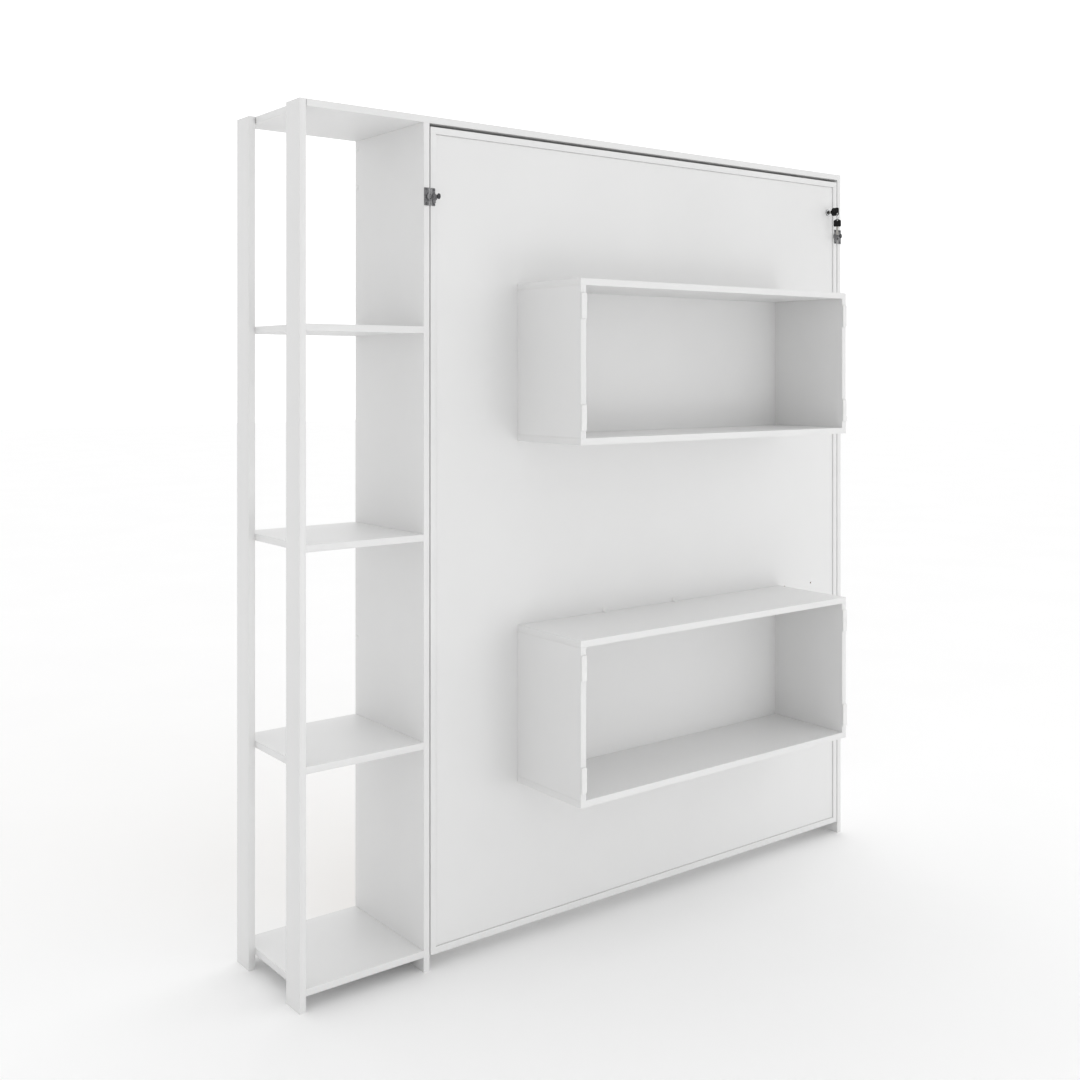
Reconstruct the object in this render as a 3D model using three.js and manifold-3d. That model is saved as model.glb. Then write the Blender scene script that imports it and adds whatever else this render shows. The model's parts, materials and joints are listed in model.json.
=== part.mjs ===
// Vertical wall bed with an open shelf tower on its left and two box shelves on the bed's face.
// The bed folds down about a pivot near the floor, and the box shelves then stand on the floor as its legs.
// Millimetres. X runs along the front from the tower's end, Y from the front plane to the wall, Z up.
import * as THREE from "three";
import { mergeVertices } from "three/addons/utils/BufferGeometryUtils.js";
import Module from "manifold-3d";

const wasm = await Module();
wasm.setup();

// ---- Driving dimensions ----

const BOARD = 16; // thickness of every melamine board
const GAP = 0.3; // space left between hardware and what it is fixed to
const RUNNING_GAP = 0.4; // space left round a shaft or a sliding piece
const ROUND_SIDES = 32; // sides of a round piece
const SMALL_ROUND_SIDES = 20; // sides of a small round piece
const CORNER_STEPS = 6; // steps round a plate's rounded corner
const PAST = 1; // how far a cutting tool runs past the face that it opens
const LAP = 1; // how far two joined blocks run into each other

const CABINET = { width: 1820, height: 2000, depth: 320 };

const TOWER = {
  width: 320, // outer end to the middle panel
  postDepth: 64, // posts are boards on edge
  topSeam: 1.5, // seam between the posts and the top board's end
  shelves: 4,
  lowestTop: 51, // top face of the lowest shelf
  pitch: 485.5, // from shelf to shelf
};

const BED = {
  sideGap: 3, // between a side panel and a side rail
  bottom: 35,
  top: 1976,
  railDepth: 110,
  recess: 3, // face panel behind the rails' front edges
  seam: 0.5, // between the face panel and the rails
};

const BOX_SHELF = {
  width: 950,
  height: 388,
  front: -242, // Y of the boards' front edges
  lowerBottom: 390,
  upperBottom: 1231,
};

const PAD = { length: 60, thickness: 4, inset: 34 };

const SLATS = {
  count: 14,
  width: 68,
  thickness: 8,
  ledgerWidth: 20,
  ledgerDepth: 14.5,
  ledgerBottom: 60,
  ledgerTop: 1845,
  endMargin: 15, // from a ledger's end to the first slat
  endGap: 6, // from a side rail to a slat's end
};

const WALL_RAIL = {
  upperHeight: 136,
  middleBottom: 691,
  middleTop: 771,
};

const WALL_BRACKET = { leg: 40, width: 60, thickness: 2, fromPanel: 60 };

const STOP_BLOCK = { height: 60, bottom: 1660, depth: 16, width: 18, gap: 0.5 };

const PIVOT = {
  y: 50,
  z: 296,
  shaftRadius: 8,
  bushRadius: 14,
  bushDepth: 12,
  endPlay: 1, // between the shaft's end and the bottom of the bore
  flangeRadius: 20,
  flangeThickness: 1.2,
  plateThickness: 3,
  plateFront: 37,
  plateBack: 107,
  plateBottom: 165,
  plateTop: 340,
  plateCorner: 12,
};

// Eye centres of a gas strut: the upper one is fixed, the lower one sits on the pivot arm's plate.
const STRUT = {
  upperY: 195,
  upperZ: 680,
  lowerY: 85,
  lowerZ: 191,
  fromPanel: 48.5, // middle plane of the strut, from the panel's outer face
  tubeRadius: 9,
  boreRadius: 7,
  tubeStart: 14,
  tubeEnd: 308,
  wall: 4,
  rodRadius: 4,
  pistonRadius: 6.6,
  pistonLength: 10,
  rodReach: 326, // from the lower eye to the piston's end
  eyeRadius: 9,
  eyeThickness: 8,
  pinRadius: 5,
  pinPast: 2, // how far the pin shows past the eye
  collarRadius: 8,
  bracketWidth: 40,
  bracketHeight: 64,
  bracketThickness: 3,
  bracketCorner: 6,
};

// Latch sizes across the panel edge, measured from the panel's outer face towards the bed.
const LATCH = {
  z: 1811,
  plateHeight: 42,
  plateThickness: 1.2,
  strikeFrom: 0.3,
  strikeTo: 18.2,
  plateFrom: 19.2,
  plateTo: 31,
  lipFrom: 6.5,
  lipPad: 11.3, // the lip stands on the plate up to here
  lipThickness: 1.6,
  lipRadius: 8.6, // of the lip's round end, which is half its height
  knobAt: 27.5,
  fingerRadius: 3.5,
  fingerReach: 15.5,
  fingerThickness: 2.2,
  coneRadius: 8.6,
  coneLength: 10.5,
  neckRadius: 2.4,
  neckLength: 4.5,
  headRadius: 7,
  headLength: 6,
  headFlatness: 0.58, // width of the oval head against its height
  baseRadius: 5, // of the head where it meets the neck
  crownRadius: 4.6,
  crownDrop: 0.8, // from the head's end to the crown's edge
};

const LOCK = {
  x: 1764,
  z: 1882,
  flangeRadius: 10,
  flangeThickness: 2,
  barrelRadius: 9,
  plugRadius: 6,
  caseHalfWidth: 20,
  caseHalfHeight: 25,
  caseDepth: 12,
  caseWall: 4, // closes the bolt's channel at its inner end
  boltSize: 8,
  boltLength: 42,
  boltTip: 1800,
  keeperHeight: 30,
  keeperWidth: 22,
  keeperThickness: 1.2,
  keeperHoleDepth: 10,
};

const KEY = {
  bowLength: 26,
  bowHeight: 24,
  bowThickness: 4,
  bowCorner: 5,
  bowFront: -38, // Y of the bow's outer end
  bladeHeight: 7.5,
  bladeThickness: 2,
  bladeEnd: 18,
  bladeLap: 2, // how far the blade runs into the head
  holeRadius: 3.2,
  holeY: -33,
  holeDrop: 7, // below the lock's axis
};

const RING = {
  radius: 8,
  wire: 0.8,
  wireSides: 8,
  hang: 1.5, // from a hole's centre to the wire that passes through it
  turn: THREE.MathUtils.degToRad(20),
};

const SPARE_KEY = {
  headWidth: 22,
  peak: 4.6, // above the hole's centre
  shoulder: -1,
  headBottom: -19.2,
  bladeWidth: 7,
  bladeEnd: -44,
  turn: THREE.MathUtils.degToRad(39),
};

// ---- Finishes ----

const MELAMINE = { color: 0xe6e6e5, roughness: 0.45, metalness: 0 };
const SLAT_WOOD = { color: 0xd8b98a, roughness: 0.6, metalness: 0 };
const WHITE_PLASTIC = { color: 0xf0f0ee, roughness: 0.4, metalness: 0 };
const NYLON = { color: 0xdcdcd6, roughness: 0.5, metalness: 0 };
const ZINC = { color: 0x8f9194, roughness: 0.35, metalness: 0.9 };
const DARK_STEEL = { color: 0x4a4c4f, roughness: 0.4, metalness: 0.9 };
const CHROME = { color: 0xc9ccd0, roughness: 0.15, metalness: 1 };
const BLACK_PLASTIC = { color: 0x101010, roughness: 0.45, metalness: 0 };
const BLACK_PAINT = { color: 0x1b1c1e, roughness: 0.4, metalness: 0.3 };

// ---- Places worked out from the dimensions ----

const PANEL_TOP = CABINET.height - BOARD;
const BED_LEFT = TOWER.width;
const BED_RIGHT = CABINET.width;
const BED_CENTRE = (BED_LEFT + BED_RIGHT) / 2;
const RAIL_FROM = BOARD + BED.sideGap; // a side rail, from the panel's outer face
const RAIL_TO = RAIL_FROM + BOARD;
const PANEL_BACK = BED.recess + BOARD; // back face of the bed's face panel
const PADS_FRONT = BOX_SHELF.front - PAD.thickness;

// ---- Shapes ----

// A block between two corners.
function block([x0, x1], [y0, y1], [z0, z1]) {
  const geometry = new THREE.BoxGeometry(x1 - x0, y1 - y0, z1 - z0);
  return geometry.translate((x0 + x1) / 2, (y0 + y1) / 2, (z0 + z1) / 2);
}

function barAlongX(radius, [x0, x1], y, z, sides = ROUND_SIDES) {
  const geometry = new THREE.CylinderGeometry(radius, radius, x1 - x0, sides);
  geometry.rotateZ(Math.PI / 2);
  return geometry.translate((x0 + x1) / 2, y, z);
}

function barAlongY(radius, [y0, y1], x, z, sides = ROUND_SIDES) {
  const geometry = new THREE.CylinderGeometry(radius, radius, y1 - y0, sides);
  return geometry.translate(x, (y0 + y1) / 2, z);
}

// A profile of [radius, distance] pairs turned round the Y axis.
function turned(profile, sides = ROUND_SIDES) {
  const points = profile.map(([radius, distance]) => new THREE.Vector2(radius, distance));
  return new THREE.LatheGeometry(points, sides);
}

function roundedRectangle(x0, x1, y0, y1, radius) {
  const shape = new THREE.Shape();
  shape.absarc(x1 - radius, y0 + radius, radius, -Math.PI / 2, 0);
  shape.absarc(x1 - radius, y1 - radius, radius, 0, Math.PI / 2);
  shape.absarc(x0 + radius, y1 - radius, radius, Math.PI / 2, Math.PI);
  shape.absarc(x0 + radius, y0 + radius, radius, Math.PI, 1.5 * Math.PI);
  return shape;
}

function addRoundHole(shape, x, y, radius) {
  const hole = new THREE.Path();
  hole.absarc(x, y, radius, 0, 2 * Math.PI);
  shape.holes.push(hole);
}

// A plate whose outline lies in the YZ plane, from one X to another.
function plateAcrossX(shape, [x0, x1]) {
  const options = { depth: x1 - x0, bevelEnabled: false, curveSegments: CORNER_STEPS };
  const geometry = new THREE.ExtrudeGeometry(shape, options);
  const yAxis = new THREE.Vector3(0, 1, 0);
  const zAxis = new THREE.Vector3(0, 0, 1);
  const xAxis = new THREE.Vector3(1, 0, 0);
  geometry.applyMatrix4(new THREE.Matrix4().makeBasis(yAxis, zAxis, xAxis));
  return geometry.translate(x0, 0, 0);
}

// ---- Joins and cuts ----

function solidOf(geometry) {
  const bare = geometry.clone();
  bare.deleteAttribute("normal");
  bare.deleteAttribute("uv");
  const merged = mergeVertices(bare);
  return new wasm.Manifold(
    new wasm.Mesh({
      numProp: 3,
      vertProperties: merged.attributes.position.array,
      triVerts: new Uint32Array(merged.index.array),
    }),
  );
}

function geometryOf(solid) {
  const mesh = solid.getMesh();
  const geometry = new THREE.BufferGeometry();
  geometry.setAttribute("position", new THREE.BufferAttribute(mesh.vertProperties, 3));
  geometry.setIndex(new THREE.BufferAttribute(mesh.triVerts, 1));
  geometry.computeVertexNormals();
  return geometry;
}

function joined(first, ...others) {
  const add = (solid, other) => solid.add(solidOf(other));
  return geometryOf(others.reduce(add, solidOf(first)));
}

function cut(body, ...tools) {
  const subtract = (solid, tool) => solid.subtract(solidOf(tool));
  return geometryOf(tools.reduce(subtract, solidOf(body)));
}

// ---- Assembly helpers ----

function addPart(parent, name, geometry, finish) {
  const mesh = new THREE.Mesh(geometry, new THREE.MeshStandardMaterial(finish));
  mesh.name = name;
  parent.add(mesh);
}

// A group whose X starts at a side panel's outer face and runs towards the bed's middle.
function sideGroup(parent, side) {
  const group = new THREE.Group();
  const isLeft = side === "left";
  group.position.x = isLeft ? BED_LEFT : BED_RIGHT;
  group.scale.x = isLeft ? 1 : -1;
  parent.add(group);
  return group;
}

// ---- Cabinet ----

function addTower(parent) {
  const backPost = [CABINET.depth - TOWER.postDepth, CABINET.depth];
  const height = [0, CABINET.height];
  addPart(parent, "front_post", block([0, BOARD], [0, TOWER.postDepth], height), MELAMINE);
  addPart(parent, "rear_post", block([0, BOARD], backPost, height), MELAMINE);
  for (let i = 0; i < TOWER.shelves; i++) {
    const top = TOWER.lowestTop + i * TOWER.pitch;
    const shelf = block([BOARD, TOWER.width], [0, CABINET.depth], [top - BOARD, top]);
    addPart(parent, `tower_shelf_${i + 1}`, shelf, MELAMINE);
  }
}

function addTopBoard(parent) {
  const x = [BOARD + TOWER.topSeam, CABINET.width];
  const board = block(x, [0, CABINET.depth], [PANEL_TOP, CABINET.height]);
  addPart(parent, "top_board", board, MELAMINE);
}

// The panel has a blind bore for the pivot bush, and the right one a mortise for the lock's bolt.
function addSidePanel(group, side) {
  const boreStart = BOARD - PIVOT.bushDepth - GAP;
  const bore = barAlongX(PIVOT.bushRadius + GAP, [boreStart, BOARD + PAST], PIVOT.y, PIVOT.z);
  const panel = block([0, BOARD], [0, CABINET.depth], [0, PANEL_TOP]);
  if (side === "left") {
    addPart(group, "middle_panel", cut(panel, bore), MELAMINE);
    return;
  }
  const mortise = boltHole([BOARD - LOCK.keeperHoleDepth, BOARD + PAST]);
  addPart(group, "right_panel", cut(panel, bore, mortise), MELAMINE);
}

function addWallRails(parent) {
  const x = [BED_LEFT + BOARD, BED_RIGHT - BOARD];
  const y = [CABINET.depth - BOARD, CABINET.depth];
  const upper = block(x, y, [PANEL_TOP - WALL_RAIL.upperHeight, PANEL_TOP]);
  const middle = block(x, y, [WALL_RAIL.middleBottom, WALL_RAIL.middleTop]);
  addPart(parent, "upper_wall_rail", upper, MELAMINE);
  addPart(parent, "middle_wall_rail", middle, MELAMINE);
}

// An angle with one leg under the top board and one on the upper wall rail.
function addWallBracket(group, side) {
  const x = [WALL_BRACKET.fromPanel, WALL_BRACKET.fromPanel + WALL_BRACKET.width];
  const back = CABINET.depth - BOARD - GAP;
  const top = PANEL_TOP - GAP;
  const sheet = WALL_BRACKET.thickness;
  const flatLeg = block(x, [back - WALL_BRACKET.leg, back], [top - sheet, top]);
  const wallLeg = block(x, [back - sheet, back], [top - WALL_BRACKET.leg, top]);
  addPart(group, `wall_bracket_${side}`, joined(flatLeg, wallLeg), ZINC);
}

// A flanged bush let into the side panel.
function addPivotBush(group, side) {
  const start = BOARD - PIVOT.bushDepth;
  const flangeEnd = BOARD + GAP + PIVOT.flangeThickness;
  const sleeve = barAlongX(PIVOT.bushRadius, [start, flangeEnd], PIVOT.y, PIVOT.z);
  const flange = barAlongX(PIVOT.flangeRadius, [BOARD + GAP, flangeEnd], PIVOT.y, PIVOT.z);
  const boreRadius = PIVOT.shaftRadius + RUNNING_GAP;
  const boreLength = [start - PAST, flangeEnd + PAST];
  const bore = barAlongX(boreRadius, boreLength, PIVOT.y, PIVOT.z);
  addPart(group, `pivot_bush_${side}`, cut(joined(sleeve, flange), bore), NYLON);
}

// A plate on the side panel with the pin of the gas strut's upper eye.
function addStrutBracket(group, side) {
  const start = BOARD + GAP;
  const plateEnd = start + STRUT.bracketThickness;
  const y = [STRUT.upperY - STRUT.bracketWidth / 2, STRUT.upperY + STRUT.bracketWidth / 2];
  const z = [STRUT.upperZ - STRUT.bracketHeight / 2, STRUT.upperZ + STRUT.bracketHeight / 2];
  const eyeStart = STRUT.fromPanel - STRUT.eyeThickness / 2;
  const eyeEnd = STRUT.fromPanel + STRUT.eyeThickness / 2;
  const pinLength = [start, eyeEnd + STRUT.pinPast];
  const collarLength = [start, eyeStart - RUNNING_GAP];
  const outline = roundedRectangle(...y, ...z, STRUT.bracketCorner);
  const plate = plateAcrossX(outline, [start, plateEnd]);
  const pin = barAlongX(STRUT.pinRadius, pinLength, STRUT.upperY, STRUT.upperZ);
  const collar = barAlongX(STRUT.collarRadius, collarLength, STRUT.upperY, STRUT.upperZ);
  addPart(group, `strut_bracket_${side}`, joined(plate, collar, pin), DARK_STEEL);
}

function addStopBlock(group, side) {
  const x = [BOARD + GAP, BOARD + GAP + STOP_BLOCK.width];
  const front = BED.railDepth + STOP_BLOCK.gap;
  const y = [front, front + STOP_BLOCK.depth];
  const z = [STOP_BLOCK.bottom, STOP_BLOCK.bottom + STOP_BLOCK.height];
  addPart(group, `stop_block_${side}`, block(x, y, z), WHITE_PLASTIC);
}

// The strike's lip is a pocket with a round end. The turned finger of the knob goes in behind it.
function addStrike(group, side) {
  const z = [LATCH.z - LATCH.plateHeight / 2, LATCH.z + LATCH.plateHeight / 2];
  const lipZ = [LATCH.z - LATCH.lipRadius, LATCH.z + LATCH.lipRadius];
  const plateFront = -GAP - LATCH.plateThickness;
  const lipBack = plateFront - LATCH.fingerThickness - 2 * RUNNING_GAP;
  const lipFront = lipBack - LATCH.lipThickness;
  const lipY = [lipFront, plateFront + LAP];
  const endAt = LATCH.lipFrom + LATCH.lipRadius;
  const plate = block([LATCH.strikeFrom, LATCH.strikeTo], [plateFront, -GAP], z);
  const roundEnd = barAlongY(LATCH.lipRadius, lipY, endAt, LATCH.z);
  const lip = joined(roundEnd, block([endAt, LATCH.strikeTo], lipY, lipZ));
  const pastLip = endAt + LATCH.lipRadius + PAST;
  const trim = block([LATCH.strikeTo, pastLip], [lipFront - PAST, 0], z);
  const pocket = block([LATCH.lipPad, pastLip], [lipBack, plateFront + LAP + PAST], z);
  addPart(group, `latch_strike_${side}`, joined(plate, cut(lip, trim, pocket)), ZINC);
}

function boltHole(x) {
  const half = LOCK.boltSize / 2 + RUNNING_GAP;
  const y = boltMiddleY();
  return block(x, [y - half, y + half], [LOCK.z - half, LOCK.z + half]);
}

function boltMiddleY() {
  return PANEL_BACK + GAP + LOCK.caseDepth / 2;
}

function addLockKeeper(group) {
  const y = boltMiddleY();
  const x = [BOARD + GAP, BOARD + GAP + LOCK.keeperThickness];
  const across = [y - LOCK.keeperWidth / 2, y + LOCK.keeperWidth / 2];
  const up = [LOCK.z - LOCK.keeperHeight / 2, LOCK.z + LOCK.keeperHeight / 2];
  const plate = block(x, across, up);
  addPart(group, "lock_keeper", cut(plate, boltHole([BOARD - PAST, BOARD + BED.sideGap])), ZINC);
}

// ---- Bed ----

function addFacePanel(parent) {
  const from = BED_LEFT + RAIL_TO + BED.seam;
  const to = BED_RIGHT - RAIL_TO - BED.seam;
  const z = [BED.bottom + BOARD + BED.seam, BED.top - BOARD - BED.seam];
  const panel = block([from, to], [BED.recess, PANEL_BACK], z);
  const holeY = [BED.recess - PAST, PANEL_BACK + PAST];
  const lockHole = barAlongY(LOCK.barrelRadius + GAP, holeY, LOCK.x, LOCK.z);
  addPart(parent, "face_panel", cut(panel, lockHole), MELAMINE);
}

function addEndRails(parent) {
  const x = [BED_LEFT + RAIL_FROM, BED_RIGHT - RAIL_FROM];
  const y = [0, BED.railDepth];
  const topRail = block(x, y, [BED.top - BOARD, BED.top]);
  const bottomRail = block(x, y, [BED.bottom, BED.bottom + BOARD]);
  addPart(parent, "top_rail", topRail, MELAMINE);
  addPart(parent, "bottom_rail", bottomRail, MELAMINE);
}

function addSideRail(group, side) {
  const z = [BED.bottom + BOARD, BED.top - BOARD];
  const rail = block([RAIL_FROM, RAIL_TO], [0, BED.railDepth], z);
  const holeX = [RAIL_FROM - PAST, RAIL_TO + PAST];
  const shaftHole = barAlongX(PIVOT.shaftRadius + GAP, holeX, PIVOT.y, PIVOT.z);
  const tools = side === "left" ? [shaftHole] : [shaftHole, boltHole(holeX)];
  addPart(group, `side_rail_${side}`, cut(rail, ...tools), MELAMINE);
}

// Two ledgers with the slats across them, as one welded ladder.
function addSlattedBase(parent) {
  const ledgerY = [PANEL_BACK + GAP, PANEL_BACK + GAP + SLATS.ledgerDepth];
  const ledgerZ = [SLATS.ledgerBottom, SLATS.ledgerTop];
  const left = BED_LEFT + RAIL_TO + GAP;
  const right = BED_RIGHT - RAIL_TO - GAP;
  const leftLedger = block([left, left + SLATS.ledgerWidth], ledgerY, ledgerZ);
  const rightLedger = block([right - SLATS.ledgerWidth, right], ledgerY, ledgerZ);
  const slatX = [left + SLATS.endGap, right - SLATS.endGap];
  const slatY = [ledgerY[1] - LAP, ledgerY[1] + SLATS.thickness];
  const first = SLATS.ledgerBottom + SLATS.endMargin;
  const last = SLATS.ledgerTop - SLATS.endMargin - SLATS.width;
  const pitch = (last - first) / (SLATS.count - 1);
  const slats = [];
  for (let i = 0; i < SLATS.count; i++) {
    const bottom = first + i * pitch;
    slats.push(block(slatX, slatY, [bottom, bottom + SLATS.width]));
  }
  addPart(parent, "slatted_base", joined(leftLedger, rightLedger, ...slats), SLAT_WOOD);
}

// A plate inside the side rail, with the shaft that runs through the rail into the bush.
function addPivotArm(group, side) {
  const plateX = [RAIL_TO + GAP, RAIL_TO + GAP + PIVOT.plateThickness];
  const outline = roundedRectangle(
    PIVOT.plateFront,
    PIVOT.plateBack,
    PIVOT.plateBottom,
    PIVOT.plateTop,
    PIVOT.plateCorner,
  );
  const shaftStart = BOARD - PIVOT.bushDepth + PIVOT.endPlay;
  const shaft = barAlongX(PIVOT.shaftRadius, [shaftStart, plateX[1]], PIVOT.y, PIVOT.z);
  addPart(group, `pivot_arm_${side}`, joined(plateAcrossX(outline, plateX), shaft), DARK_STEEL);
}

function addBoxShelf(parent, level, bottom) {
  const half = BOX_SHELF.width / 2;
  const x = [BED_CENTRE - half, BED_CENTRE + half];
  const y = [BOX_SHELF.front, BED.recess];
  const top = bottom + BOX_SHELF.height;
  addPart(parent, `${level}_box_bottom`, block(x, y, [bottom, bottom + BOARD]), MELAMINE);
  addPart(parent, `${level}_box_top`, block(x, y, [top - BOARD, top]), MELAMINE);
  const ends = { left: [x[0], x[0] + BOARD], right: [x[1] - BOARD, x[1]] };
  for (const [side, endX] of Object.entries(ends)) {
    const board = block(endX, y, [bottom + BOARD, top - BOARD]);
    addPart(parent, `${level}_box_${side}`, board, MELAMINE);
    addPad(parent, `${level}_pad_${side}_bottom`, endX, bottom + PAD.inset);
    addPad(parent, `${level}_pad_${side}_top`, endX, top - PAD.inset - PAD.length);
  }
}

function addPad(parent, name, x, bottom) {
  const y = [PADS_FRONT, BOX_SHELF.front];
  addPart(parent, name, block(x, y, [bottom, bottom + PAD.length]), WHITE_PLASTIC);
}

// ---- Latches ----

function addLatchPlate(group, side) {
  const z = [LATCH.z - LATCH.plateHeight / 2, LATCH.z + LATCH.plateHeight / 2];
  const y = [-GAP - LATCH.plateThickness, -GAP];
  addPart(group, `latch_plate_${side}`, block([LATCH.plateFrom, LATCH.plateTo], y, z), ZINC);
}

// A cone, neck and oval head on a finger. The finger points down when the latch is open.
function addLatchKnob(group, side) {
  const back = -GAP - LATCH.plateThickness - RUNNING_GAP;
  const fingerFront = back - LATCH.fingerThickness;
  const neckStart = fingerFront - LATCH.coneLength;
  const headStart = neckStart - LATCH.neckLength;
  const headEnd = headStart - LATCH.headLength;
  const rim = headStart - LATCH.headLength / 2;
  const stem = turned(
    [
      [0, headStart - LAP],
      [LATCH.neckRadius, headStart - LAP],
      [LATCH.neckRadius, neckStart],
      [LATCH.coneRadius, fingerFront],
      [LATCH.coneRadius, back],
      [0, back],
    ],
    SMALL_ROUND_SIDES,
  );
  const head = turned(
    [
      [0, headEnd],
      [LATCH.crownRadius, headEnd + LATCH.crownDrop],
      [LATCH.headRadius, rim],
      [LATCH.baseRadius, headStart],
      [0, headStart],
    ],
    SMALL_ROUND_SIDES,
  );
  head.scale(LATCH.headFlatness, 1, 1);
  const reach = LATCH.fingerReach - LATCH.fingerRadius;
  const fingerX = [LATCH.knobAt - LATCH.fingerRadius, LATCH.knobAt + LATCH.fingerRadius];
  const finger = block(fingerX, [fingerFront, back], [LATCH.z - reach, LATCH.z]);
  const tip = barAlongY(
    LATCH.fingerRadius,
    [fingerFront, back],
    LATCH.knobAt,
    LATCH.z - reach,
    SMALL_ROUND_SIDES,
  );
  const body = joined(stem, head).translate(LATCH.knobAt, 0, LATCH.z);
  addPart(group, `latch_knob_${side}`, joined(body, finger, tip), DARK_STEEL);
}

// ---- Lock and keys ----

// A flanged barrel through the face panel and a case behind it with the bolt's channel.
function addLockBody(parent) {
  const flangeFront = BED.recess - LOCK.flangeThickness - GAP;
  const caseY = [PANEL_BACK + GAP, PANEL_BACK + GAP + LOCK.caseDepth];
  const caseX = [LOCK.x - LOCK.caseHalfWidth, LOCK.x + LOCK.caseHalfWidth];
  const caseZ = [LOCK.z - LOCK.caseHalfHeight, LOCK.z + LOCK.caseHalfHeight];
  const flangeY = [flangeFront, BED.recess - GAP];
  const flange = barAlongY(LOCK.flangeRadius, flangeY, LOCK.x, LOCK.z);
  const barrel = barAlongY(LOCK.barrelRadius, [flangeFront, caseY[1]], LOCK.x, LOCK.z);
  const body = joined(flange, barrel, block(caseX, caseY, caseZ));
  const boreRadius = LOCK.plugRadius + GAP;
  const bore = barAlongY(boreRadius, [flangeFront - PAST, boltMiddleY()], LOCK.x, LOCK.z);
  const channel = boltHole([caseX[0] + LOCK.caseWall, caseX[1] + PAST]);
  addPart(parent, "lock_body", cut(body, bore, channel), CHROME);
}

function addLockPlug(parent) {
  const front = BED.recess - LOCK.flangeThickness;
  const back = boltMiddleY() - LOCK.boltSize / 2 - 2 * RUNNING_GAP;
  const plug = barAlongY(LOCK.plugRadius, [front, back], LOCK.x, LOCK.z, SMALL_ROUND_SIDES);
  const halfSlot = KEY.bladeThickness / 2 + GAP;
  const halfHeight = KEY.bladeHeight / 2 + GAP;
  const slotX = [LOCK.x - halfSlot, LOCK.x + halfSlot];
  const slotZ = [LOCK.z - halfHeight, LOCK.z + halfHeight];
  const slot = block(slotX, [front - PAST, back + PAST], slotZ);
  addPart(parent, "lock_plug", cut(plug, slot), CHROME);
}

function addLockBolt(parent) {
  const y = boltMiddleY();
  const half = LOCK.boltSize / 2;
  const x = [LOCK.boltTip - LOCK.boltLength, LOCK.boltTip];
  const bolt = block(x, [y - half, y + half], [LOCK.z - half, LOCK.z + half]);
  addPart(parent, "lock_bolt", bolt, ZINC);
}

// A flat key standing on edge in the plug, with a hole for the ring in its bow's lower outer corner.
function addKey(parent) {
  const bowY = [KEY.bowFront, KEY.bowFront + KEY.bowLength];
  const halfBow = KEY.bowHeight / 2;
  const bow = roundedRectangle(...bowY, LOCK.z - halfBow, LOCK.z + halfBow, KEY.bowCorner);
  addRoundHole(bow, KEY.holeY, LOCK.z - KEY.holeDrop, KEY.holeRadius);
  const halfThick = KEY.bowThickness / 2;
  const head = plateAcrossX(bow, [LOCK.x - halfThick, LOCK.x + halfThick]);
  const halfBlade = KEY.bladeThickness / 2;
  const bladeX = [LOCK.x - halfBlade, LOCK.x + halfBlade];
  const bladeZ = [LOCK.z - KEY.bladeHeight / 2, LOCK.z + KEY.bladeHeight / 2];
  const blade = block(bladeX, [bowY[1] - KEY.bladeLap, KEY.bladeEnd], bladeZ);
  addPart(parent, "key", joined(head, blade), BLACK_PLASTIC);
}

function addKeyRing(parent) {
  const ring = new THREE.TorusGeometry(RING.radius, RING.wire, RING.wireSides, ROUND_SIDES);
  const place = new THREE.Group();
  place.position.set(LOCK.x, KEY.holeY, ringMiddleZ());
  place.rotation.set(Math.PI / 2, 0, RING.turn, "ZXY");
  parent.add(place);
  addPart(place, "key_ring", ring, CHROME);
}

function ringMiddleZ() {
  return LOCK.z - KEY.holeDrop - RING.hang - RING.radius;
}

// A flat key with a peaked head, hanging by its hole from the ring's lowest point.
function addSpareKey(parent) {
  const half = SPARE_KEY.headWidth / 2;
  const head = new THREE.Shape();
  head.moveTo(-half, SPARE_KEY.headBottom);
  head.lineTo(half, SPARE_KEY.headBottom);
  head.lineTo(half, SPARE_KEY.shoulder);
  head.lineTo(0, SPARE_KEY.peak);
  head.lineTo(-half, SPARE_KEY.shoulder);
  addRoundHole(head, 0, 0, KEY.holeRadius);
  const halfThick = KEY.bowThickness / 2;
  const headPlate = plateAcrossX(head, [-halfThick, halfThick]);
  const bladeX = [-KEY.bladeThickness / 2, KEY.bladeThickness / 2];
  const bladeY = [-SPARE_KEY.bladeWidth / 2, SPARE_KEY.bladeWidth / 2];
  const bladeZ = [SPARE_KEY.bladeEnd, SPARE_KEY.headBottom + KEY.bladeLap];
  const blade = block(bladeX, bladeY, bladeZ);
  const place = new THREE.Group();
  place.position.set(LOCK.x, KEY.holeY, ringMiddleZ() - RING.radius - RING.hang);
  place.rotation.z = SPARE_KEY.turn;
  parent.add(place);
  addPart(place, "spare_key", joined(headPlate, blade), BLACK_PLASTIC);
}

// ---- Gas struts ----

// A group whose Y axis runs from the strut's upper eye to its lower eye.
function strutGroup(group) {
  const strut = new THREE.Group();
  const lean = Math.atan2(STRUT.upperY - STRUT.lowerY, STRUT.upperZ - STRUT.lowerZ);
  strut.position.set(STRUT.fromPanel, STRUT.upperY, STRUT.upperZ);
  strut.rotation.x = -Math.PI / 2 - lean;
  group.add(strut);
  return strut;
}

function strutEye(distance) {
  const half = STRUT.eyeThickness / 2;
  return barAlongX(STRUT.eyeRadius, [-half, half], distance, 0);
}

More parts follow.
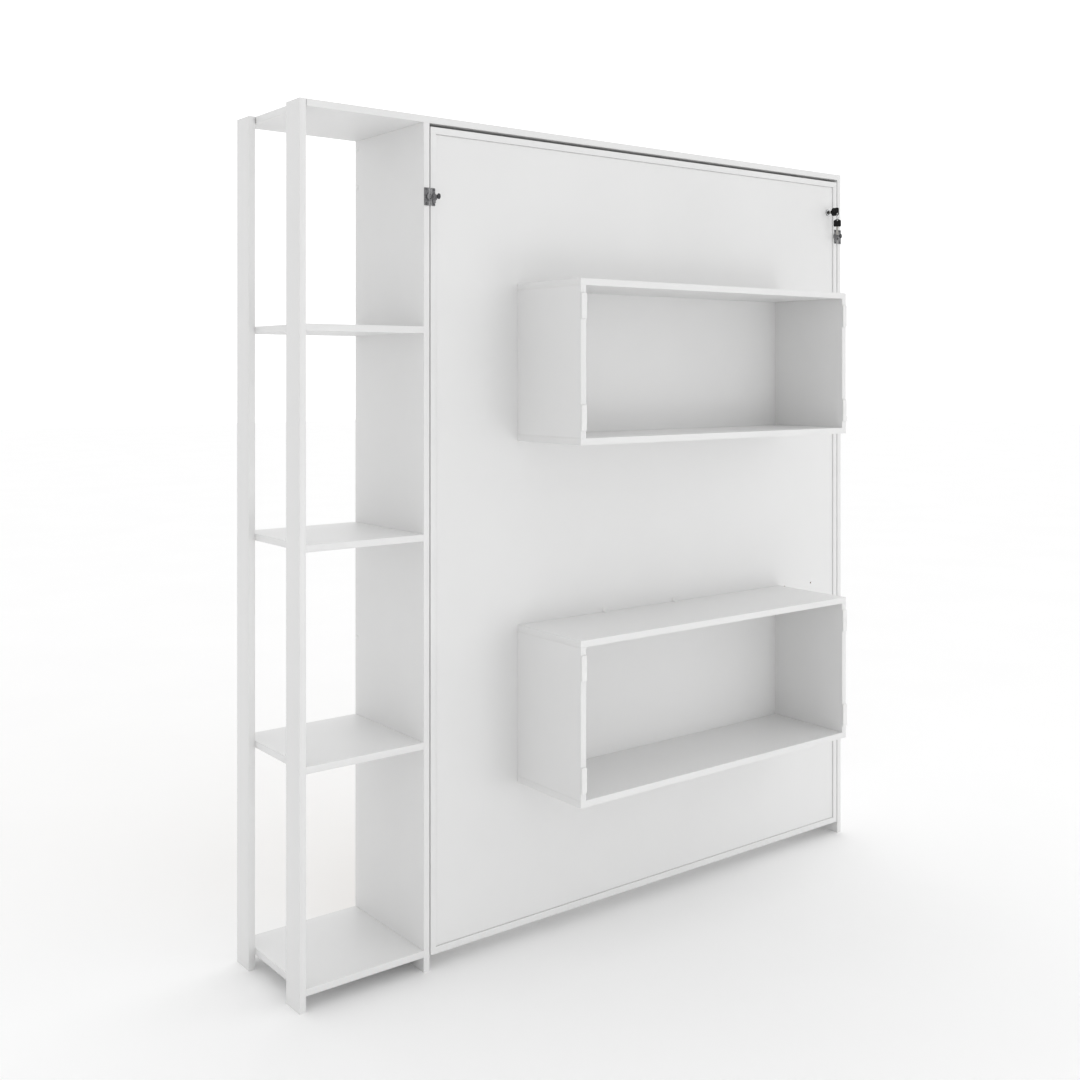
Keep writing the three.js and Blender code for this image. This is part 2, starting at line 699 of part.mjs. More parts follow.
function addStrutCylinder(group, side) {
  const tube = turned([
    [0, STRUT.tubeStart],
    [STRUT.tubeRadius, STRUT.tubeStart],
    [STRUT.tubeRadius, STRUT.tubeEnd],
    [STRUT.rodRadius + RUNNING_GAP, STRUT.tubeEnd],
    [STRUT.rodRadius + RUNNING_GAP, STRUT.tubeEnd - STRUT.wall],
    [STRUT.boreRadius, STRUT.tubeEnd - STRUT.wall],
    [STRUT.boreRadius, STRUT.tubeStart + STRUT.wall],
    [0, STRUT.tubeStart + STRUT.wall],
  ]);
  const half = STRUT.eyeThickness / 2;
  const neck = block([-half, half], [0, STRUT.tubeStart + LAP], [-half, half]);
  const holeX = [-half - PAST, half + PAST];
  const pinHole = barAlongX(STRUT.pinRadius + RUNNING_GAP, holeX, 0, 0);
  const cylinder = cut(joined(tube, neck, strutEye(0)), pinHole);
  addPart(group, `strut_cylinder_${side}`, cylinder, BLACK_PAINT);
}

// The lower eye's pin stops just short of the pivot arm's plate.
function addStrutRod(group, side) {
  const length = Math.hypot(STRUT.upperY - STRUT.lowerY, STRUT.upperZ - STRUT.lowerZ);
  const pistonStart = length - STRUT.rodReach;
  const rod = turned([
    [0, pistonStart],
    [STRUT.pistonRadius, pistonStart],
    [STRUT.pistonRadius, pistonStart + STRUT.pistonLength],
    [STRUT.rodRadius, pistonStart + STRUT.pistonLength],
    [STRUT.rodRadius, length],
    [0, length],
  ]);
  const armFace = RAIL_TO + GAP + PIVOT.plateThickness;
  const pinEnd = armFace + RUNNING_GAP - STRUT.fromPanel;
  const pin = barAlongX(STRUT.pinRadius, [pinEnd, 0], length, 0);
  addPart(group, `strut_rod_${side}`, joined(rod, strutEye(length), pin), CHROME);
}

// ---- The whole bed ----

function buildWallBed() {
  const assembly = new THREE.Group();
  addTower(assembly);
  addTopBoard(assembly);
  addWallRails(assembly);
  addFacePanel(assembly);
  addEndRails(assembly);
  addSlattedBase(assembly);
  addBoxShelf(assembly, "upper", BOX_SHELF.upperBottom);
  addBoxShelf(assembly, "lower", BOX_SHELF.lowerBottom);
  for (const side of ["left", "right"]) {
    const group = sideGroup(assembly, side);
    addSidePanel(group, side);
    addWallBracket(group, side);
    addPivotBush(group, side);
    addStrutBracket(group, side);
    addStopBlock(group, side);
    addStrike(group, side);
    addSideRail(group, side);
    addPivotArm(group, side);
    addLatchPlate(group, side);
    addLatchKnob(group, side);
    const strut = strutGroup(group);
    addStrutCylinder(strut, side);
    addStrutRod(strut, side);
    if (side === "right") addLockKeeper(group);
  }
  addLockBody(assembly);
  addLockPlug(assembly);
  addLockBolt(assembly);
  addKey(assembly);
  addKeyRing(assembly);
  addSpareKey(assembly);

  // The origin is on the floor, below the middle of the whole object's box.
  const middleY = (PADS_FRONT + CABINET.depth) / 2;
  assembly.position.set(-CABINET.width / 2, -middleY, 0);
  const wallBed = new THREE.Group();
  wallBed.add(assembly);
  return wallBed;
}

export default buildWallBed();
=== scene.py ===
"""Looks of a vertical wall bed with a shelf tower and two box shelves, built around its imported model.

Metres, in the part's frame: X along the front, Y towards the wall, Z up.
A flat solid is drawn in its own (u, v) plane and has its thickness along w. A place is the matrix
that puts (u, v, w) into the frame.
"""

import json
import math

import bmesh
import bpy
from mathutils import Matrix, Vector
from mathutils.geometry import tessellate_polygon


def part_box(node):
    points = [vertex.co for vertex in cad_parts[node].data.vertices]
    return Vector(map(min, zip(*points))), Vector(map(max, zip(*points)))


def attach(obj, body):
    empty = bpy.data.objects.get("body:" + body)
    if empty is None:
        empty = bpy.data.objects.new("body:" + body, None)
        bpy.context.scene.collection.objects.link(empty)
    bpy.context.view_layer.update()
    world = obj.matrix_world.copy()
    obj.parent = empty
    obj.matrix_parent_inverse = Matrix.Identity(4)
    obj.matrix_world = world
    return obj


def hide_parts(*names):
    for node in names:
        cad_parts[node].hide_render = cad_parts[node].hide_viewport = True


MM = 0.001
X, Y, Z = Vector((1, 0, 0)), Vector((0, 1, 0)), Vector((0, 0, 1))
SIDES = ("left", "right")
LEVELS = ("upper", "lower")  # the two box shelves
INWARD = {"left": 1, "right": -1}  # along X, from a side panel towards the bed's middle

# Building
SHARP_ANGLE = math.radians(50)
WELD_REACH = 0.002 * MM
PLAIN_ROUND = 0.2 * MM  # of a plate that is given no edge of its own
HOLE_ROUND = 0.15 * MM
SUNK = 0.1 * MM  # how deep a head or a cap starts below the surface it stands on

# Boards
BAND = 1.0 * MM  # thickness of the edge band
SEAM = 0.12 * MM  # width of the glue line beside it
SEAM_DEPTH = 0.08 * MM
BAND_ROUND = 0.25 * MM
BORE_RADIUS = 14.3 * MM  # for the pivot bush
BORE_DEPTH = 12.3 * MM
SHAFT_HOLE = 8.3 * MM
LOCK_HOLE = 9.3 * MM
BOLT_HOLE = 4.4 * MM  # half of its side
MORTISE_DEPTH = 10 * MM

# Caps and screw heads. A screw's size is its head's radius.
CAP_RADIUS = 6 * MM
CAP_HEIGHT = 1.2 * MM
SMALL_SCREW = 3.2 * MM
LARGE_SCREW = 4.2 * MM
FLUSH_HEIGHT = 0.45 * MM
HEAD_HEIGHT = 0.55  # as a share of the radius, like the recess's reach and half width
RECESS_REACH = 0.52
RECESS_HALF = 0.13
HEAD_ROUND = 0.85  # as a share of the head's height
RECESS_DEPTH = 0.8

# Materials
WHITE, BLACK = "white_plastic", "black_plastic"
EVEN = (1, 1, 1)
UPRIGHT = (1, 1, 0.06)  # streaks that run up and down
ALONG_X = (0.05, 1, 1)
NOISE_DETAIL = 4.0
COLOUR_RANGE = (0.35, 0.65)  # the part of the noise that a colour ramp is spread over
VALUE_RANGE = (0.3, 0.7)
BEVEL_SAMPLES = 4
FLAT, CREASE = 0.995, 0.85  # how alike the softened and the true normal are
WEAR_SCALE = 180
WEAR_LEAST = 0.2
WORN_SHADE = 0.85

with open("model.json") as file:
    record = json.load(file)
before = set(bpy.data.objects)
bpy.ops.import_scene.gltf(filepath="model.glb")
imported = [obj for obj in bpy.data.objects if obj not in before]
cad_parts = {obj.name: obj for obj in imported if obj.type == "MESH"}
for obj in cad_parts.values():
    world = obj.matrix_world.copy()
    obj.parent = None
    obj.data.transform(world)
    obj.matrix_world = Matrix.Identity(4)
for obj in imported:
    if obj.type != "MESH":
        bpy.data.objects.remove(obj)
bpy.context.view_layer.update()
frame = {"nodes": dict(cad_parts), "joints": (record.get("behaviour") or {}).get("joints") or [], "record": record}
joints = {joint["name"]: joint for joint in frame["joints"]}


# ---- Materials ----


def add_node(tree, kind, sources, **settings):
    """A new shader node. sources gives each input a constant or another node's output."""
    made = tree.nodes.new("ShaderNode" + kind)
    for name, value in settings.items():
        setattr(made, name, value)
    for socket, source in sources.items():
        if isinstance(source, bpy.types.NodeSocket):
            tree.links.new(source, made.inputs[socket])
        else:
            made.inputs[socket].default_value = source
    return made


def object_noise(tree, scale, stretch=EVEN):
    """Noise in the piece's own coordinates, so that it stays on the piece as it moves."""
    place = add_node(tree, "TexCoord", {}).outputs["Object"]
    vector = add_node(tree, "Mapping", {"Vector": place, "Scale": stretch}).outputs["Vector"]
    noise = add_node(tree, "TexNoise", {"Vector": vector, "Scale": scale, "Detail": NOISE_DETAIL})
    return noise.outputs["Fac"]


def colour_between(tree, amount, colours):
    ramp = add_node(tree, "ValToRGB", {"Fac": amount})
    for element, position, colour in zip(ramp.color_ramp.elements, COLOUR_RANGE, colours):
        element.position = position
        element.color = (*colour, 1)
    return ramp.outputs["Color"]


def map_range(tree, amount, *ends):
    """Spreads amount from (from_low, from_high) over (to_low, to_high)."""
    sockets = dict(zip(("From Min", "From Max", "To Min", "To Max"), ends))
    return add_node(tree, "MapRange", {"Value": amount, **sockets}).outputs["Result"]


def value_between(tree, amount, low, high):
    return map_range(tree, amount, *VALUE_RANGE, low, high)


def bumps(tree, layers):
    """A chain of bump nodes, one for each (noise, distance) layer."""
    sources = {"Strength": 1}
    for noise, distance in layers:
        sources.update(Height=noise, Distance=distance)
        sources["Normal"] = add_node(tree, "Bump", sources).outputs["Normal"]
    return sources["Normal"]


def edge_mask(tree, reach, strength):
    """Is up to strength within reach of a sharp edge and 0 elsewhere, broken up by noise."""
    softened = add_node(tree, "Bevel", {"Radius": reach}, samples=BEVEL_SAMPLES).outputs["Normal"]
    surface = add_node(tree, "NewGeometry", {}).outputs["True Normal"]
    alike = add_node(tree, "VectorMath", {0: softened, 1: surface}, operation="DOT_PRODUCT")
    near = map_range(tree, alike.outputs["Value"], FLAT, CREASE, 0, strength)
    patches = value_between(tree, object_noise(tree, WEAR_SCALE), WEAR_LEAST, 1.0)
    return add_node(tree, "Math", {0: near, 1: patches}, operation="MULTIPLY").outputs["Value"]


def blended(tree, amount, first, second):
    # the colour sockets go by number because they share their names with the others
    mix = add_node(tree, "Mix", {"Factor": amount, 6: first, 7: second}, data_type="RGBA")
    return mix.outputs[2]


def finish(name, colours, roughness, blotch, grain, metallic=0.0, wear=None, **fixed):
    """A shader whose colour and gloss wander with blotch, and whose surface has the layers of grain.

    blotch is (scale, stretch). grain is a list of (scale, stretch, distance). wear is (colour, reach,
    strength) along the edges. fixed are constant sockets.
    """
    made = bpy.data.materials.new(name)
    made.use_nodes = True
    tree = made.node_tree
    shader = tree.nodes["Principled BSDF"]
    patches = object_noise(tree, *blotch)
    fine = object_noise(tree, grain[0][0], grain[0][1])
    layers = [(object_noise(tree, scale, stretch), far) for scale, stretch, far in grain]
    colour = colour_between(tree, patches, colours)
    if wear:
        tint, reach, strength = wear
        worn = colour_between(tree, fine, (tint, [WORN_SHADE * part for part in tint]))
        colour = blended(tree, edge_mask(tree, reach, strength), colour, worn)
    tree.links.new(colour, shader.inputs["Base Color"])
    tree.links.new(value_between(tree, fine, *roughness), shader.inputs["Roughness"])
    tree.links.new(bumps(tree, layers), shader.inputs["Normal"])
    shader.inputs["Metallic"].default_value = metallic
    for socket, value in fixed.items():
        shader.inputs[socket.replace("_", " ")].default_value = value
    return made


FINISHES = {
    "melamine": finish(
        "melamine_white", ((0.765, 0.765, 0.763), (0.785, 0.785, 0.783)), (0.40, 0.52), (2.5, EVEN),
        [(2600, EVEN, 0.000012), (700, EVEN, 0.000008)], wear=((0.62, 0.61, 0.59), 0.0008, 0.35),
    ),
    "band": finish(
        "edge_band_white", ((0.76, 0.76, 0.758), (0.78, 0.78, 0.777)), (0.30, 0.42), (9, EVEN),
        [(1500, UPRIGHT, 0.000008)], wear=((0.64, 0.63, 0.61), 0.0006, 0.3),
    ),
    "glue": finish(
        "glue_line", ((0.50, 0.49, 0.46), (0.62, 0.61, 0.59)), (0.5, 0.7), (120, EVEN),
        [(3000, EVEN, 0.00002)],
    ),
    "chipboard": finish(
        "chipboard_core", ((0.16, 0.10, 0.055), (0.50, 0.37, 0.22)), (0.75, 0.95), (900, EVEN),
        [(900, EVEN, 0.0003)],
    ),
    "white_plastic": finish(
        "white_plastic", ((0.77, 0.77, 0.765), (0.81, 0.81, 0.805)), (0.28, 0.40), (40, EVEN),
        [(1800, EVEN, 0.000015)],
    ),
    "nylon": finish(
        "nylon_natural", ((0.60, 0.59, 0.54), (0.72, 0.71, 0.66)), (0.35, 0.5), (60, EVEN),
        [(1200, EVEN, 0.00002)], Subsurface_Weight=0.1,
    ),
    "zinc": finish(
        "zinc_plate", ((0.13, 0.13, 0.135), (0.24, 0.24, 0.245)), (0.34, 0.55), (260, EVEN),
        [(900, EVEN, 0.00003)], metallic=0.85, wear=((0.42, 0.42, 0.42), 0.0004, 0.7),
    ),
    "bright_zinc": finish(
        "zinc_rubbed", ((0.24, 0.24, 0.245), (0.36, 0.36, 0.365)), (0.26, 0.42), (300, EVEN),
        [(2200, UPRIGHT, 0.00002)], metallic=0.85,
    ),
    "steel": finish(
        "dark_steel", ((0.045, 0.046, 0.05), (0.085, 0.086, 0.09)), (0.30, 0.46), (120, EVEN),
        [(1600, EVEN, 0.00002)], metallic=0.9, wear=((0.24, 0.24, 0.245), 0.0005, 0.6),
    ),
    "steel_edge": finish(
        "dark_steel_worn", ((0.16, 0.16, 0.165), (0.30, 0.30, 0.305)), (0.22, 0.36), (500, EVEN),
        [(2400, EVEN, 0.00001)], metallic=0.95,
    ),
    "chrome": finish(
        "chrome", ((0.55, 0.56, 0.57), (0.68, 0.69, 0.70)), (0.08, 0.18), (90, EVEN),
        [(2600, EVEN, 0.000004)], metallic=1.0,
    ),
    "nickel": finish(
        "nickel_blade", ((0.36, 0.35, 0.33), (0.50, 0.49, 0.46)), (0.20, 0.38), (400, EVEN),
        [(1800, (1, 1, 0.1), 0.00001)], metallic=1.0,
    ),
    "black_plastic": finish(
        "black_plastic", ((0.003, 0.003, 0.003), (0.007, 0.007, 0.007)), (0.34, 0.52), (300, EVEN),
        [(2600, EVEN, 0.00003)], wear=((0.03, 0.03, 0.03), 0.0005, 0.6), Specular_IOR_Level=0.18,
    ),
    "black_paint": finish(
        "black_paint", ((0.010, 0.010, 0.011), (0.020, 0.020, 0.022)), (0.22, 0.36), (30, EVEN),
        [(700, EVEN, 0.00001)], wear=((0.12, 0.12, 0.12), 0.0005, 0.5), Coat_Weight=0.4,
        Coat_Roughness=0.15,
    ),
    "rubber": finish(
        "bumper_rubber", ((0.03, 0.03, 0.032), (0.055, 0.055, 0.058)), (0.6, 0.8), (200, EVEN),
        [(1500, EVEN, 0.00004)],
    ),
    "slat_wood": finish(
        "birch_slat", ((0.47, 0.31, 0.16), (0.66, 0.49, 0.29)), (0.42, 0.6), (60, (0.03, 1, 1)),
        [(420, ALONG_X, 0.00006), (2400, ALONG_X, 0.00002)], wear=((0.34, 0.22, 0.12), 0.0012, 0.5),
    ),
    "ledger_wood": finish(
        "pine_ledger", ((0.50, 0.33, 0.17), (0.70, 0.53, 0.32)), (0.5, 0.7), (70, (1, 1, 0.03)),
        [(380, (1, 1, 0.05), 0.00008)],
    ),
}


# ---- Outlines in (u, v) ----


def circle(radius, steps=32, centre=(0, 0)):
    turns = [2 * math.pi * i / steps for i in range(steps)]
    return [(centre[0] + radius * math.cos(t), centre[1] + radius * math.sin(t)) for t in turns]


def rectangle(u0, u1, v0, v1):
    return [(u0, v0), (u1, v0), (u1, v1), (u0, v1)]


def rounded(corners, radii, steps=5):
    """A polygon, counter-clockwise, with each corner replaced by an arc of its own radius."""
    made = []
    count = len(corners)
    if not hasattr(radii, "__len__"):
        radii = [radii] * count
    for i, radius in enumerate(radii):
        here = Vector(corners[i])
        back = (Vector(corners[i - 1]) - here).normalized()
        ahead = (Vector(corners[(i + 1) % count]) - here).normalized()
        half = back.angle(ahead) / 2
        reach = radius / math.tan(half)
        start, end = here + back * reach, here + ahead * reach
        centre = here + (back + ahead).normalized() * (radius / math.sin(half))
        first, last = start - centre, end - centre
        sweep = first.angle_signed(last)
        for k in range(steps + 1):
            made.append(tuple(centre + Matrix.Rotation(-sweep * k / steps, 2) @ first))
    return made


def rounded_rectangle(u0, u1, v0, v1, radius, steps=5):
    return rounded(rectangle(u0, u1, v0, v1), radius, steps)


def centred(half_u, half_v, radius, steps=5):
    return rounded_rectangle(-half_u, half_u, -half_v, half_v, radius, steps)


def cross(reach, half_width):
    """The outline of a cross recess."""
    r, h = reach, half_width
    return [(r, h), (h, h), (h, r), (-h, r), (-h, h), (-r, h),
            (-r, -h), (-h, -h), (-h, -r), (h, -r), (h, -h), (r, -h)]


def offset(outline, distance):
    """The outline moved to its left by distance, which is inwards when it runs counter-clockwise."""
    if distance == 0:
        return list(outline)
    made = []
    count = len(outline)
    for i in range(count):
        here = Vector(outline[i])
        before = (here - Vector(outline[i - 1])).normalized()
        after = (Vector(outline[(i + 1) % count]) - here).normalized()
        n1, n2 = Vector((-before.y, before.x)), Vector((-after.y, after.x))
        made.append(tuple(here + (n1 + n2) * (distance / (1 + n1.dot(n2)))))
    return made


def half_turn(steps):
    return [math.pi * i / steps for i in range(steps + 1)]


def round_edge(radius, look, steps=2):
    """The edge of a flat solid as (inset, drop, look) steps from its flat face to its wall."""
    turns = [turn / 2 for turn in half_turn(steps)]
    return [(radius * (1 - math.sin(t)), radius * (1 - math.cos(t)), look) for t in turns]


# ---- Places ----


def place_of(origin, u, v, w):
    made = Matrix((u, v, w)).transposed().to_4x4()
    made.translation = origin
    return made


def facing(origin, normal):
    """A place whose w points along normal and whose v points up, or along Y where normal is upright."""
    w = Vector(normal).normalized()
    up = Y if abs(w.z) > 0.99 else Z
    v = (up - w * w.dot(up)).normalized()
    return place_of(Vector(origin), v.cross(w), v, w)


def raised(place, w):
    return place @ Matrix.Translation((0, 0, w))


# ---- Solids ----


class Shells:
    """Closed shells that make up one piece."""

    def __init__(self):
        self.points = []
        self.faces = []
        self.looks = []
        self.smooth = []

    def add(self, points, faces, look, smooth):
        start = len(self.points)
        self.points += points
        for face in faces:
            self.faces.append([start + i for i in face])
            self.looks.append(look)
            self.smooth.append(smooth)

    def strip(self, ring, next_ring, look, smooth=True):
        """The band of faces between two closed rings of the same number of points."""
        count = len(ring)
        faces = []
        for i in range(count):
            k = (i + 1) % count
            faces.append([i, k, count + k, count + i])
        self.add(list(ring) + list(next_ring), faces, look, smooth)

    def cap(self, loops, look):
        """A flat face inside the first loop and outside the others."""
        points = [Vector(p) for loop in loops for p in loop]
        faces = [list(f) for f in tessellate_polygon([[Vector(p) for p in loop] for loop in loops])]
        self.add(points, faces, look, False)


def level(outline, inset, w, place):
    return [place @ Vector((u, v, w)) for u, v in offset(outline, inset)]


def plate(shells, outline, thickness, place, look, edge=None, wall=None, holes=()):
    """A flat solid from w = 0 to w = thickness.

    edge is a list of (inset, drop, look) steps. A hole is (outline, depth, look): it goes right
    through where depth is None, and otherwise starts at w = thickness.
    """
    edge = edge or round_edge(PLAIN_ROUND, look)
    wall = wall or edge[-1][2]
    levels = [(inset, thickness - drop) for inset, drop, _ in edge]
    levels += [(inset, drop) for inset, drop, _ in reversed(edge)]
    looks = [step[2] for step in edge[1:]] + [wall] + [step[2] for step in reversed(edge[1:])]
    rings = [level(outline, inset, w, place) for inset, w in levels]
    for i, strip_look in enumerate(looks):
        shells.strip(rings[i], rings[i + 1], strip_look)
    front, back = [rings[0]], [rings[-1]]
    for hole, depth, hole_look in holes:
        lip = round_edge(HOLE_ROUND, look, 1)
        deep = [(-inset, thickness - drop) for inset, drop, _ in lip]
        if depth is None:
            deep += [(-inset, drop) for inset, drop, _ in reversed(lip)]
        else:
            deep.append((0, thickness - depth))
        hole_rings = [level(hole, inset, w, place) for inset, w in deep]
        for i in range(len(hole_rings) - 1):
            shells.strip(hole_rings[i], hole_rings[i + 1], hole_look if i else look)
        front.append(hole_rings[0])
        if depth is None:
            back.append(hole_rings[-1])
        else:
            shells.cap([hole_rings[-1]], hole_look)
    shells.cap(front, look)
    shells.cap(back, look)


def turned(shells, profile, place, look, steps=40, flatness=1.0):
    """A profile of (radius, w) pairs turned round w. flatness narrows it along u."""
    rings = []
    for radius, w in profile:
        ring = [place @ Vector((u * flatness, v, w)) for u, v in circle(radius, steps)]
        rings.append(ring)
    for i in range(len(rings) - 1):
        if profile[i][0] == 0:
            tip = place @ Vector((0, 0, profile[i][1]))
            shells.add([tip] + rings[i + 1], fan(steps), look, True)
        elif profile[i + 1][0] == 0:
            tip = place @ Vector((0, 0, profile[i + 1][1]))
            shells.add([tip] + rings[i], fan(steps), look, True)
        else:
            shells.strip(rings[i], rings[i + 1], look)


def fan(steps):
    return [[0, 1 + i, 1 + (i + 1) % steps] for i in range(steps)]


def lofted(shells, rings, look):
    """A solid through a row of rings, with flat ends."""
    for i in range(len(rings) - 1):
        shells.strip(rings[i], rings[i + 1], look)
    shells.cap([rings[0]], look)
    shells.cap([rings[-1]], look)


def screw(shells, at, normal, radius=SMALL_SCREW, look="bright_zinc", height=None, recess_shade_look="steel"):
    """A screw head with a cross recess, standing proud of a surface by its height. By default the recess takes the
    darker steel look, which is painted shade in the cross recess.
    """
    height = height or radius * HEAD_HEIGHT
    edge = round_edge(height * HEAD_ROUND, look, 3)
    # the recess's darker look is painted shade in the cross recess, not a second metal
    recess = (cross(radius * RECESS_REACH, radius * RECESS_HALF), height * RECESS_DEPTH, recess_shade_look)
    place = facing(Vector(at) - Vector(normal) * SUNK, normal)
    plate(shells, circle(radius, 24), height, place, look, edge, look, [recess])


def flush_screw(shells, at, normal, radius=SMALL_SCREW, look="bright_zinc", recess_shade_look="steel"):
    screw(shells, at, normal, radius, look, FLUSH_HEIGHT, recess_shade_look)


def cover_cap(shells, at, normal):
    """A press-in cap over a screw."""
    place = facing(Vector(at) - Vector(normal) * SUNK, normal)
    edge = round_edge(CAP_HEIGHT * 0.9, WHITE, 4)
    plate(shells, circle(CAP_RADIUS), CAP_HEIGHT, place, WHITE, edge)


def linked(name, data):
    made = bpy.data.objects.new(name, data)
    bpy.context.scene.collection.objects.link(made)
    return made


def piece(name, shells, body, replaces=()):
    """Makes the mesh object, gives it its finishes and lets it ride on its body."""
    looks = list(dict.fromkeys(shells.looks))
    mesh = bpy.data.meshes.new(name)
    mesh.from_pydata(shells.points, [], shells.faces)
    for look in looks:
        mesh.materials.append(FINISHES[look])
    mesh.polygons.foreach_set("material_index", [looks.index(look) for look in shells.looks])
    mesh.polygons.foreach_set("use_smooth", shells.smooth)
    weld(mesh)
    made = linked(name, mesh)
    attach(made, body)
    if replaces:
        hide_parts(*replaces)


def weld(mesh):
    """Merges the shells' shared points, turns every face outwards and marks the sharp edges."""
    work = bmesh.new()
    work.from_mesh(mesh)
    bmesh.ops.remove_doubles(work, verts=work.verts, dist=WELD_REACH)
    bmesh.ops.recalc_face_normals(work, faces=work.faces)
    for edge in work.edges:
        edge.smooth = len(edge.link_faces) == 2 and edge.calc_face_angle() < SHARP_ANGLE
    work.to_mesh(mesh)
    work.free()


def body_of(node):
    bodies = frame["record"]["behaviour"]["bodies"]
    return next(body for body, nodes in bodies.items() if node in nodes)


def middle(node):
    low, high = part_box(node)
    return (low + high) / 2


def front_place(node, y):
    """A place at the node's middle and the given y, with w towards the front and u along X."""
    centre = middle(node)
    return facing((centre.x, y, centre.z), -Y)


def half_size(node):
    """Half the node's width and half its height."""
    low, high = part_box(node)
    return (high.x - low.x) / 2, (high.z - low.z) / 2


def side_x(node, side, inwards):
    """X of the node's face that looks towards the bed's middle, or of the one that looks away."""
    low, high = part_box(node)
    return high.x if (side == "left") == inwards else low.x


# ---- Boards ----

PANELS = {"left": "middle_panel", "right": "right_panel"}
BOARD_EDGE = [
    (BAND + SEAM, 0, "melamine"),
    (BAND + SEAM / 2, SEAM_DEPTH, "glue"),
    (BAND, 0, "glue"),
] + round_edge(BAND_ROUND, "band")
PLAIN_BOARDS = ["top_board", "front_post", "rear_post", "upper_wall_rail", "middle_wall_rail"]
PLAIN_BOARDS += [f"tower_shelf_{i}" for i in range(1, 5)]
PLAIN_BOARDS += ["top_rail", "bottom_rail"]
PLAIN_BOARDS += [f"{row}_box_{part}" for row in LEVELS for part in ("top", "bottom", "left", "right")]

# Peg holes in the bed's face, right of the lower box
PEG_HOLE = 2.6 * MM
PEG_DEPTH = 9 * MM
PEG_RISE = 10 * MM  # from the underside of the box's top
PEG_STEPS = (25 * MM, 140 * MM)  # from the box's right side
SLEEVE_RADIUS = 4 * MM
SLEEVE_BORE = 2.45 * MM
SLEEVE_DEPTH = 0.4 * MM  # how much of it is in the panel
SLEEVE_THICKNESS = 0.6 * MM

# How far caps and screws are from the edges of their boards
RAIL_CAP_INSETS = (21 * MM, 19 * MM)  # top and bottom
TOP_CAP_INSET = 50 * MM
RAIL_SCREW_INSETS = (34 * MM, 26 * MM)  # front and back
FACE_SCREW_INSET = 120 * MM
FACE_SCREWS = 6

BRACKET_REACH = 11 * MM
BRACKET_WIDTH = 18 * MM
BRACKET_SHEET = 1.4 * MM
BRACKET_CORNER = 1 * MM
BRACKET_SHARES = (0.3, 0.56)  # where they are along a box
BRACKET_SCREW = (2.4 * MM, WHITE, WHITE)
BRACKET_SCREW_SHARE = 0.6

PAD_CORNER = 2.5 * MM
PAD_ROUND = 1.2 * MM


def board_place(node, front):
    """A place on the board's back with w towards its front, and its outline and thickness."""
    low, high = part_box(node)
    size = high - low
    across = min(range(3), key=lambda axis: size[axis])
    first, second = [axis for axis in range(3) if axis != across]
    axes = (X, Y, Z)
    w = axes[across] * front
    origin = middle(node) - w * (size[across] / 2)
    outline = rectangle(-size[first] / 2, size[first] / 2, -size[second] / 2, size[second] / 2)
    return place_of(origin, axes[first], axes[second], w), outline, size[across]


def board(node, front=1, holes=()):
    """A melamine board with banded edges. A hole is (centre in the frame, outline, depth)."""
    place, outline, thickness = board_place(node, front)
    inside = place.inverted()
    cut = []
    for centre, shape, depth in holes:
        at = inside @ centre
        cut.append(([(u + at.x, v + at.y) for u, v in shape], depth, "chipboard"))
    shells = Shells()
    plate(shells, outline, thickness, place, "melamine", BOARD_EDGE, "band", cut)
    piece(f"{node}_board", shells, body_of(node), [node])


def square(half):
    return rectangle(-half, half, -half, half)


def make_boards():
    for node in PLAIN_BOARDS:
        board(node)
    bolt = middle("lock_bolt")
    for side in SIDES:
        bush = middle(f"pivot_bush_{side}")
        in_panel = [(bush, circle(BORE_RADIUS), BORE_DEPTH)]
        in_rail = [(bush, circle(SHAFT_HOLE), None)]
        if side == "right":
            in_panel.append((bolt, square(BOLT_HOLE), MORTISE_DEPTH))
            in_rail.append((bolt, square(BOLT_HOLE), None))
        board(PANELS[side], INWARD[side], in_panel)
        board(f"side_rail_{side}", 1, in_rail)


def make_face_panel():
    """The bed's face, with the lock's hole and two peg holes that have sleeves."""
    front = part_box("face_panel")[0].y
    peg_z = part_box("lower_box_top")[0].z + PEG_RISE
    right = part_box("lower_box_right")[1].x
    pegs = [Vector((right + step, front, peg_z)) for step in PEG_STEPS]
    holes = [(middle("lock_plug"), circle(LOCK_HOLE), None)]
    holes += [(peg, circle(PEG_HOLE, 20), PEG_DEPTH) for peg in pegs]
    board("face_panel", -1, holes)
    shells = Shells()
    bore = (circle(SLEEVE_BORE, 20), None, WHITE)
    edge = round_edge(0.3 * MM, WHITE)
    for peg in pegs:
        place = facing(peg + Y * SLEEVE_DEPTH, -Y)
        plate(shells, circle(SLEEVE_RADIUS, 28), SLEEVE_THICKNESS, place, WHITE, edge,
              holes=[bore])
    piece("peg_hole_sleeves", shells, "bed")


def make_cover_caps():
    """Caps over the screws that hold the wall rails and the top board to the side panels."""
    shells = Shells()
    low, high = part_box("upper_wall_rail")
    rail_y = middle("upper_wall_rail").y
    heights = [high.z - RAIL_CAP_INSETS[0], low.z + RAIL_CAP_INSETS[1], middle("middle_wall_rail").z]
    for side in SIDES:
        for z in heights:
            cover_cap(shells, (side_x(PANELS[side], side, False), rail_y, z), -X * INWARD[side])
    low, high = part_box("top_board")
    for node in PANELS.values():
        for y in (low.y + TOP_CAP_INSET, high.y - TOP_CAP_INSET):
            cover_cap(shells, (middle(node).x, y, high.z), Z)
    piece("cover_caps", shells, "cabinet")


